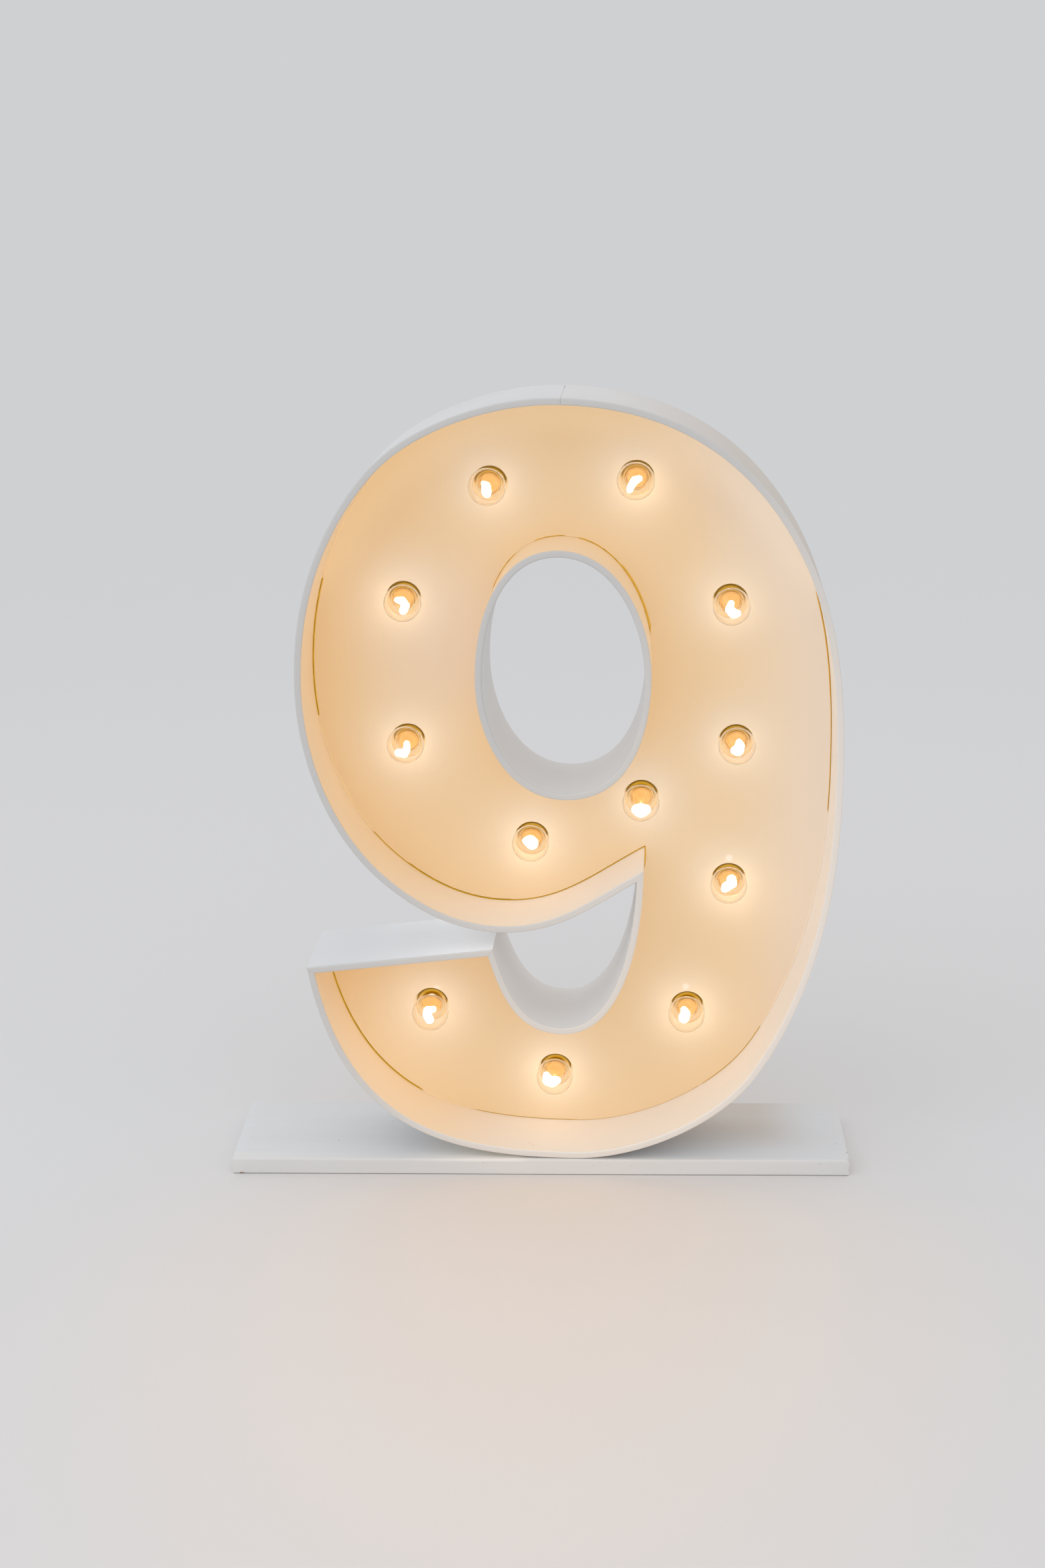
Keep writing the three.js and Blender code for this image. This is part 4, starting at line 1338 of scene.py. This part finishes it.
def wornAndShadedPaint():
    finish = Finish("wornAndShadedPlankPaint")
    x, y, z = finish.axes()
    patches, grain, chips = [finish.noise(*plank[key]) for key in ("patches", "grain", "chips")]
    # painted shade on the top: darker and warmer under the figure's right side, towards the back
    warm = finish.between(x + patches * plank["warmSway"], *plank["warmX"])
    warm = warm * finish.between(y, *plank["warmY"]) * (1.0 - finish.between(x, *plank["warmEnd"]))
    top = finish.blend(warm, plank["paint"], plank["paintShadedWarm"])
    # painted light on the front: brighter and warmer from the middle rightwards
    front = finish.blend(finish.between(x, *plank["brightX"]), plank["paintFrontLit"], plank["paintLitBright"])
    colour = finish.blend(finish.between(y, *plank["topY"]), front, top)
    colour = finish.blend(grain * 0.25, colour, plank["paintGrain"])
    lowZ, lowX = plank["wornLow"]
    low = finish.between(z, *lowZ) * finish.between(x, *lowX)
    moreAtEnd, moreLow = plank["wornMore"]
    wearing = chips + finish.between(x, *plank["wornX"]) * moreAtEnd + low * moreLow
    worn = finish.between(wearing, *plank["wornFrom"])
    # painted bounce light on the top just left of the foot
    fromX, toX = plank["bounceX"]
    underFoot = finish.between(x, *fromX) * finish.between(x, *toX) * finish.between(z, *plank["bounceZ"])
    finish.glows(finish.blend(underFoot, black, plank["bounce"]))
    finish.set(baseColor=finish.blend(worn, colour, plank["bare"]), roughness=grain * 0.2 + 0.45,
               normal=finish.bump(grain + chips * 0.3, 0.35, 0.0006))
    return finish


def addPlank():
    end, front, top = plank["length"] / 2, plank["depth"] / 2, plank["thickness"]
    piece = block((-end, -front, 0), (end, front, top))
    pickEdges(piece, lambda a, b: min(a.z, b.z) > top - touching and a.y * b.y > 0 and abs(a.x - b.x) > 0.1)
    bpy.ops.mesh.bevel(offset=plank["edge"], segments=5, profile=0.5)
    pickEdges(piece, lambda a, b: min(abs(a.x), abs(b.x)) > end - touching and a.x * b.x > 0)
    bpy.ops.mesh.bevel(offset=plank["endEdge"], segments=2)
    pickEdges(piece, lambda a, b: abs(a.x - b.x) > 0.5)
    bpy.ops.mesh.subdivide(number_cuts=plank["cuts"])
    closeMesh()
    reach = plank["edge"] * plank["wearReach"]
    for vertex in piece.data.vertices:
        rough = 0.5 + 0.5 * noise.noise(vertex.co * Vector(plank["wearScales"]))
        if vertex.co.z > top - reach and -vertex.co.y > front - touching - reach:
            vertex.co.y += plank["wear"] * rough ** 2
            vertex.co.z -= plank["wear"] * 0.6 * rough ** 2
    piece.data.transform(spun("Z", math.radians(plank["turn"])))
    holes = [(x, plank["screwY"], -plank["overrun"], high, radius)
             for x in plank["screwXs"] for radius, high in plank["screwHoles"]]
    holes += [(x, bracket["footScrewY"], *plank["pilotHole"], bracket["holeRadius"])
              for x in bracket["middles"].values()]
    for x, y, low, high, radius in holes:
        carve(piece, pin((x, y, low), (x, y, high), radius))
    handIn(piece, "basePlank", "sign", [wornAndShadedPaint()], ["base_plank"])


addPlank()
print("plank ready")

# screws: turned, with a cross recess, and shanks as long as their work needs
screw = {
    "panHead": [(0.0035, 0), (0.0035, 0.0008), (0.0032, 0.0014), (0.0022, 0.0018), (0, 0.002)],
    "panShank": 0.00175,
    "panPoint": 0.0022,
    "boardLength": 0.0086,
    "footLength": 0.0141,
    "sunk": [(0, 0.0003), (0.0038, 0.0003), (0.004, 0.0006), (0.00395, 0.001), (0.002, 0.0033),
             (0.00195, 0.032), (0.0004, 0.0362), (0, 0.0363)],
    "recess": (0.0018, 0.0004, 0.0012),
    "sunkRecess": 1.2,
    "flatRecess": 0.6,
    "overcut": 0.002,
    "steps": 32,
    "flatSteps": 24,
    "spins": 1.9,
    "flat": [(0, 0.00002), (0.0035, 0.00002), (0.00355, 0.0002), (0.0032, 0.00045), (0.0018, 0.00065),
             (0, 0.0007)],
    "perimeter": [0.06, 0.14, 0.22, 0.3, 0.38, 0.46, 0.54, 0.62, 0.7, 0.78, 0.86, 0.94],
    "round": [0.1, 0.35, 0.6, 0.85],
    "edgeInset": 0.0065,
}


def crossRecess(piece, top, reach=1.0):
    long, thin, deep = [value * reach for value in screw["recess"]]
    for a, b in ((long, thin), (thin, long)):
        carve(piece, block((-a, top - deep, -b), (a, top + screw["overcut"], b)))


def panScrew(length):
    shank = screw["panShank"]
    point = [(0, -length), (shank * 0.35, -length), (shank, screw["panPoint"] - length), (shank, 0)]
    piece = turned(point + screw["panHead"], screw["steps"])
    crossRecess(piece, screw["panHead"][-1][1])
    return piece


def addScrews():
    zinc = plainFinish("zincScrew", (0.66, 0.66, 0.64), (0.52, 0.51, 0.47), 240.0, 0.26, 1.0)

    def put(master, name, place, turn, nodes=()):
        handIn(anotherOf(master, Matrix.Translation(place) @ turn), name, "sign", [zinc], nodes)

    board, foot = panScrew(screw["boardLength"]), panScrew(screw["footLength"])
    seat = bracket["thickness"] + figure["seatGap"]
    for side, x in bracket["middles"].items():
        put(board, f"boardScrew{side.title()}", (x, bracket["faceY"] + seat, bracket["boardScrewZ"]),
            spun("Y", 0.4 + x * 9), [f"board_screw_{side}"])
        put(foot, f"footScrew{side.title()}", (x, bracket["footScrewY"], bracket["foot"] + seat),
            spun("Z", 0.9 - x * 7) @ spun("X", math.pi / 2), [f"foot_screw_{side}"])
    sunk = turned(screw["sunk"], screw["steps"])
    sunk.data.transform(spun("X", math.pi))
    crossRecess(sunk, -screw["sunk"][0][1], screw["sunkRecess"])
    sunk.data.transform(spun("X", -math.pi / 2))
    for index, x in enumerate(plank["screwXs"]):
        put(sunk, f"plankScrew{index + 1}", (x, plank["screwY"], 0), Matrix(), [f"plank_screw_{index + 1}"])
    flat = turned(screw["flat"], screw["flatSteps"])
    crossRecess(flat, screw["flat"][-1][1], screw["flatRecess"])
    places = []
    for points, shares in ((channelLine + channelLine[:1], screw["perimeter"]),
                           (counterLine + counterLine[:1], screw["round"])):
        run = lengths(points)
        places += [pointBeside(points, run, share * run[-1], screw["edgeInset"]) for share in shares]
    for index, place in enumerate(places):
        put(flat, f"rearBoardScrew{index + 1:02d}", (place.x, boardBack, place.y),
            spun("Y", index * screw["spins"]))
    drop(board, foot, sunk, flat)


addScrews()
print("screws ready")


# angle brackets, bent from strip: the section drawn, the corners and edges rounded, the holes bored
def addBrackets():
    thick, leg, bend = bracket["thickness"], bracket["leg"], bracket["bend"]

    def bentPart(radius, degrees):
        turns = [math.radians(turn) for turn in degrees]
        return [(bend - radius * math.cos(turn), bend - radius * math.sin(turn)) for turn in turns]

    section = [(0, leg)] + bentPart(bend, range(0, 91, 15)) + [(leg, 0), (leg, thick)]
    section += bentPart(bend - thick, range(90, -1, -15)) + [(thick, leg)]
    piece = drawn([(section, True)], 0, bracket["width"], filled=True)
    piece.data.transform(Matrix.Scale(-1, 4, (1, 0, 0)) @ spun("Z", math.pi / 2))
    mend(piece)
    half = bracket["width"] / 2
    for up, along in ((2, 1), (1, 2)):
        pickEdges(piece, lambda a, b: min(a[up], b[up]) > leg - touching
                  and abs(a[along] - b[along]) > thick / 2 and abs(abs(a.x) - half) < touching)
        bpy.ops.mesh.bevel(offset=bracket["corner"], segments=6, profile=0.5)
        closeMesh()
    boardUp, footOut = bracket["boardScrewZ"] - bracket["foot"], bracket["footScrewY"] - bracket["faceY"]
    low, high = -bracket["holeOverrun"], thick + bracket["holeOverrun"]
    carve(piece, pin((0, low, boardUp), (0, high, boardUp), bracket["holeRadius"]))
    carve(piece, pin((0, footOut, low), (0, footOut, high), bracket["holeRadius"]))
    useModifier(piece, "BEVEL", width=bracket["soften"], segments=2, limit_method="ANGLE",
                angle_limit=math.radians(50))
    zinc = plainFinish("zincBracket", (0.6, 0.61, 0.61), (0.47, 0.47, 0.45), 70.0, 0.3, 1.0, 0.2)
    for side, x in bracket["middles"].items():
        place = Matrix.Translation((x, bracket["faceY"], bracket["foot"]))
        handIn(anotherOf(piece, place), f"angleBracket{side.title()}", "sign", [zinc],
               [f"angle_bracket_{side}"])
    drop(piece)


addBrackets()
print("brackets ready")


# mains inlet and rocker switch, from the CAD solids with softened edges
inlet = {
    "middle": (0.11947, 0.09465),
    "pinSpread": 0.0043,
    "pinRadius": 0.0013,
    "pinEnd": 0.0127,
    "soften": 0.0004,
}
rocker = {
    "soften": 0.0003,
    "markHalf": 0.0017,
    "markWire": 0.00016,
    "markSunk": 0.6,
    "ringSteps": 24,
}


def addInlet(plastic):
    piece = softCopy("power_inlet", inlet["soften"])
    middleX, middleZ = inlet["middle"]
    for x in (middleX - inlet["pinSpread"], middleX + inlet["pinSpread"]):
        markFaces(piece, 1, lambda c: c.y > backY - inlet["pinEnd"]
                  and math.hypot(c.x - x, c.z - middleZ) < inlet["pinRadius"])
    handIn(piece, "powerInlet", "sign", [plastic, rolledBrass()], ["power_inlet"])


# the two signs on the rocker: a stroke and a ring, each laid on its flat
def rockerSigns(piece):
    flats = sorted((f for f in piece.data.polygons if f.normal.y > 0.8), key=lambda f: -f.area)[:2]
    rows = []
    for flat, ring in zip(sorted(flats, key=lambda f: f.center.z), (True, False)):
        along = Vector((0, flat.normal.z, -flat.normal.y)).normalized()
        middle = flat.center + flat.normal * rocker["markWire"] * rocker["markSunk"]
        half = rocker["markHalf"]
        if ring:
            row = ringPoints(middle, Vector((1, 0, 0)), along, half, rocker["ringSteps"])
            row.append(row[0])
        else:
            row = [middle - along * half, middle + along * half]
        rows.append([(tuple(place), 1.0) for place in row])
    return tubes(rows, rocker["markWire"], 1)


def addSwitch(plastic):
    bezel = softCopy("switch_bezel", rocker["soften"])
    handIn(bezel, "switchBezel", "sign", [plastic], ["switch_bezel"])
    key = softCopy("switch_rocker", rocker["soften"])
    signs = rockerSigns(key)
    glossy = plainFinish("rockerPlastic", (0.016, 0.016, 0.017), (0.024, 0.024, 0.025), 180.0, 0.16)
    white = plainFinish("whiteSwitchPrint", (0.8, 0.8, 0.79), (0.74, 0.74, 0.73), 300.0, 0.4)
    handIn(key, "switchRocker", "rocker", [glossy], ["switch_rocker"])
    handIn(signs, "rockerSigns", "rocker", [white])


blackPlastic = plainFinish("blackPlastic", (0.02, 0.02, 0.021), (0.034, 0.034, 0.035), 220.0, 0.34)
addInlet(blackPlastic)
addSwitch(blackPlastic)
print("inlet and switch ready")


# wiring: a round cable past every lampholder, on the CAD part's own route
cable = {
    "order": [9, 11, 10, 8, 5, 3, 1, 0, 2, 4, 7, 6],
    "radius": 0.0025,
    "clearance": 0.0015,
    "steps": 14,
}


def cableRoute():
    y = boardFront - figure["seatGap"] - cable["radius"]
    lamps = [bulbPlaces[index] for index in cable["order"]]
    reach = holder["flange"] + cable["radius"] + cable["clearance"]
    places = []
    for i, lamp in enumerate(lamps):
        way = (lamps[min(i + 1, len(lamps) - 1)] - lamps[max(i - 1, 0)]).normalized()
        places.append(Vector((lamp.x - way.y * reach, y, lamp.y + way.x * reach)))
    places = [places[0] * 2 - places[1]] + places + [places[-1] * 2 - places[-2]]
    route = []
    for i in range(1, len(places) - 2):
        a, b, c, d = places[i - 1:i + 3]
        ab, bc, cd = [(two - one).length ** 0.5 for one, two in ((a, b), (b, c), (c, d))]
        leave = ((b - a) / ab - (c - a) / (ab + bc) + (c - b) / bc) * bc
        arrive = ((c - b) / bc - (d - b) / (bc + cd) + (d - c) / cd) * bc
        for step in range(cable["steps"] + (i == len(places) - 3)):
            t = step / cable["steps"]
            route.append(b * (2 * t ** 3 - 3 * t ** 2 + 1) + leave * (t ** 3 - 2 * t ** 2 + t)
                         + c * (3 * t ** 2 - 2 * t ** 3) + arrive * (t ** 3 - t ** 2))
    return route


def addCable():
    sheath = plainFinish("whiteCableSheath", (0.66, 0.65, 0.62), (0.6, 0.59, 0.55), 90.0, 0.38)
    piece = tubes([[(tuple(place), 1.0) for place in cableRoute()]], cable["radius"], 4)
    handIn(piece, "wiringCable", "sign", [sheath], ["wiring_harness"], 50)


addCable()
print("cable ready")


# rear board and ledges keep their CAD solids, in plywood and softwood
timber = {
    "face": (0.6, 0.43, 0.26),
    "faceDark": (0.47, 0.31, 0.17),
    "ply": (0.36, 0.23, 0.12),
    "wide": (5.0, 3.0, 0.5, (1.0, 1.0, 0.16)),
    "fine": (70.0, 4.0, 0.6, (1.0, 1.0, 0.05)),
    "pores": (420.0, 3.0, 0.6, (1.0, 1.0, 0.035)),
    "rings": {"Scale": 11.0, "Distortion": 14.0, "Detail": 3.0, "Detail Scale": 0.9},
    "ringScales": (1.0, 1.0, 0.12),
    "plies": 830.0,
    "edgeFade": (-0.0002, -0.0006),
    "leakReach": 0.036,
    "leakFade": (0.0004, 0.0001),
    "softwood": (0.62, 0.47, 0.29),
    "softwoodDark": (0.47, 0.32, 0.17),
    "jointFade": (0.0012, 0.0005),
}


def birchPly():
    finish = Finish("birchPlywood")
    y = finish.axes()[1]
    wide, fine, pores = [finish.noise(*timber[key]) for key in ("wide", "fine", "pores")]
    rings = finish.add("ShaderNodeTexWave", {"wave_type": "BANDS", "bands_direction": "X"}, {
        "Vector": finish.place(timber["ringScales"]), **timber["rings"]})
    figured = finish.blend(rings ** 2.0 * 0.5 + wide * 0.3, timber["face"], timber["faceDark"])
    figured = finish.blend(finish.between(fine, 0.4, 0.75) * 0.45, figured, timber["faceDark"])
    figured = finish.blend(finish.between(pores, 0.55, 0.8) * 0.5, figured, timber["ply"])
    sheets = (y - boardBack) * timber["plies"]
    plies = finish.between(sheets.maths("FRACT", sheets), 0.4, 0.6)
    edge = finish.blend(plies, timber["face"], timber["ply"])
    finish.set(baseColor=finish.blend(finish.past(y, boardBack, timber["edgeFade"]), figured, edge),
               roughness=fine * 0.15 + 0.5, normal=finish.bump(fine + rings * 0.3, 0.3, 0.0003))
    # the side that the lamps shine on, behind the bulb holes
    nearBulbs = finish.nearBulbs(timber["leakReach"], boardFront).atMost(1.0)
    leak = finish.past(y, boardFront, timber["leakFade"]) * nearBulbs
    finish.glows(finish.blend(leak, black, holder["pale"]))
    return finish


# the ledges' front gets painted golden light, which shows through the joint round the panel
def softwood():
    finish = Finish("softwoodLedge")
    grain = finish.noise(40.0, 4.0, 0.6, (1.0, 0.2, 1.0))
    lit = finish.past(finish.axes()[1], panelY + figure["panelThickness"], timber["jointFade"])
    finish.set(baseColor=finish.blend(grain, timber["softwood"], timber["softwoodDark"]),
               roughness=grain * 0.2 + 0.55, normal=finish.bump(grain, 0.3, 0.0004))
    finish.glows(finish.blend(lit, black, paint["gapGlow"]))
    return finish


def addTimber():
    ply, pine = birchPly(), softwood()
    for name, finish in (("rear_board", ply), ("outer_ledge", pine), ("counter_ledge", pine)):
        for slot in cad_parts[name].material_slots:
            slot.material = finish.material


addTimber()
print("timber ready")
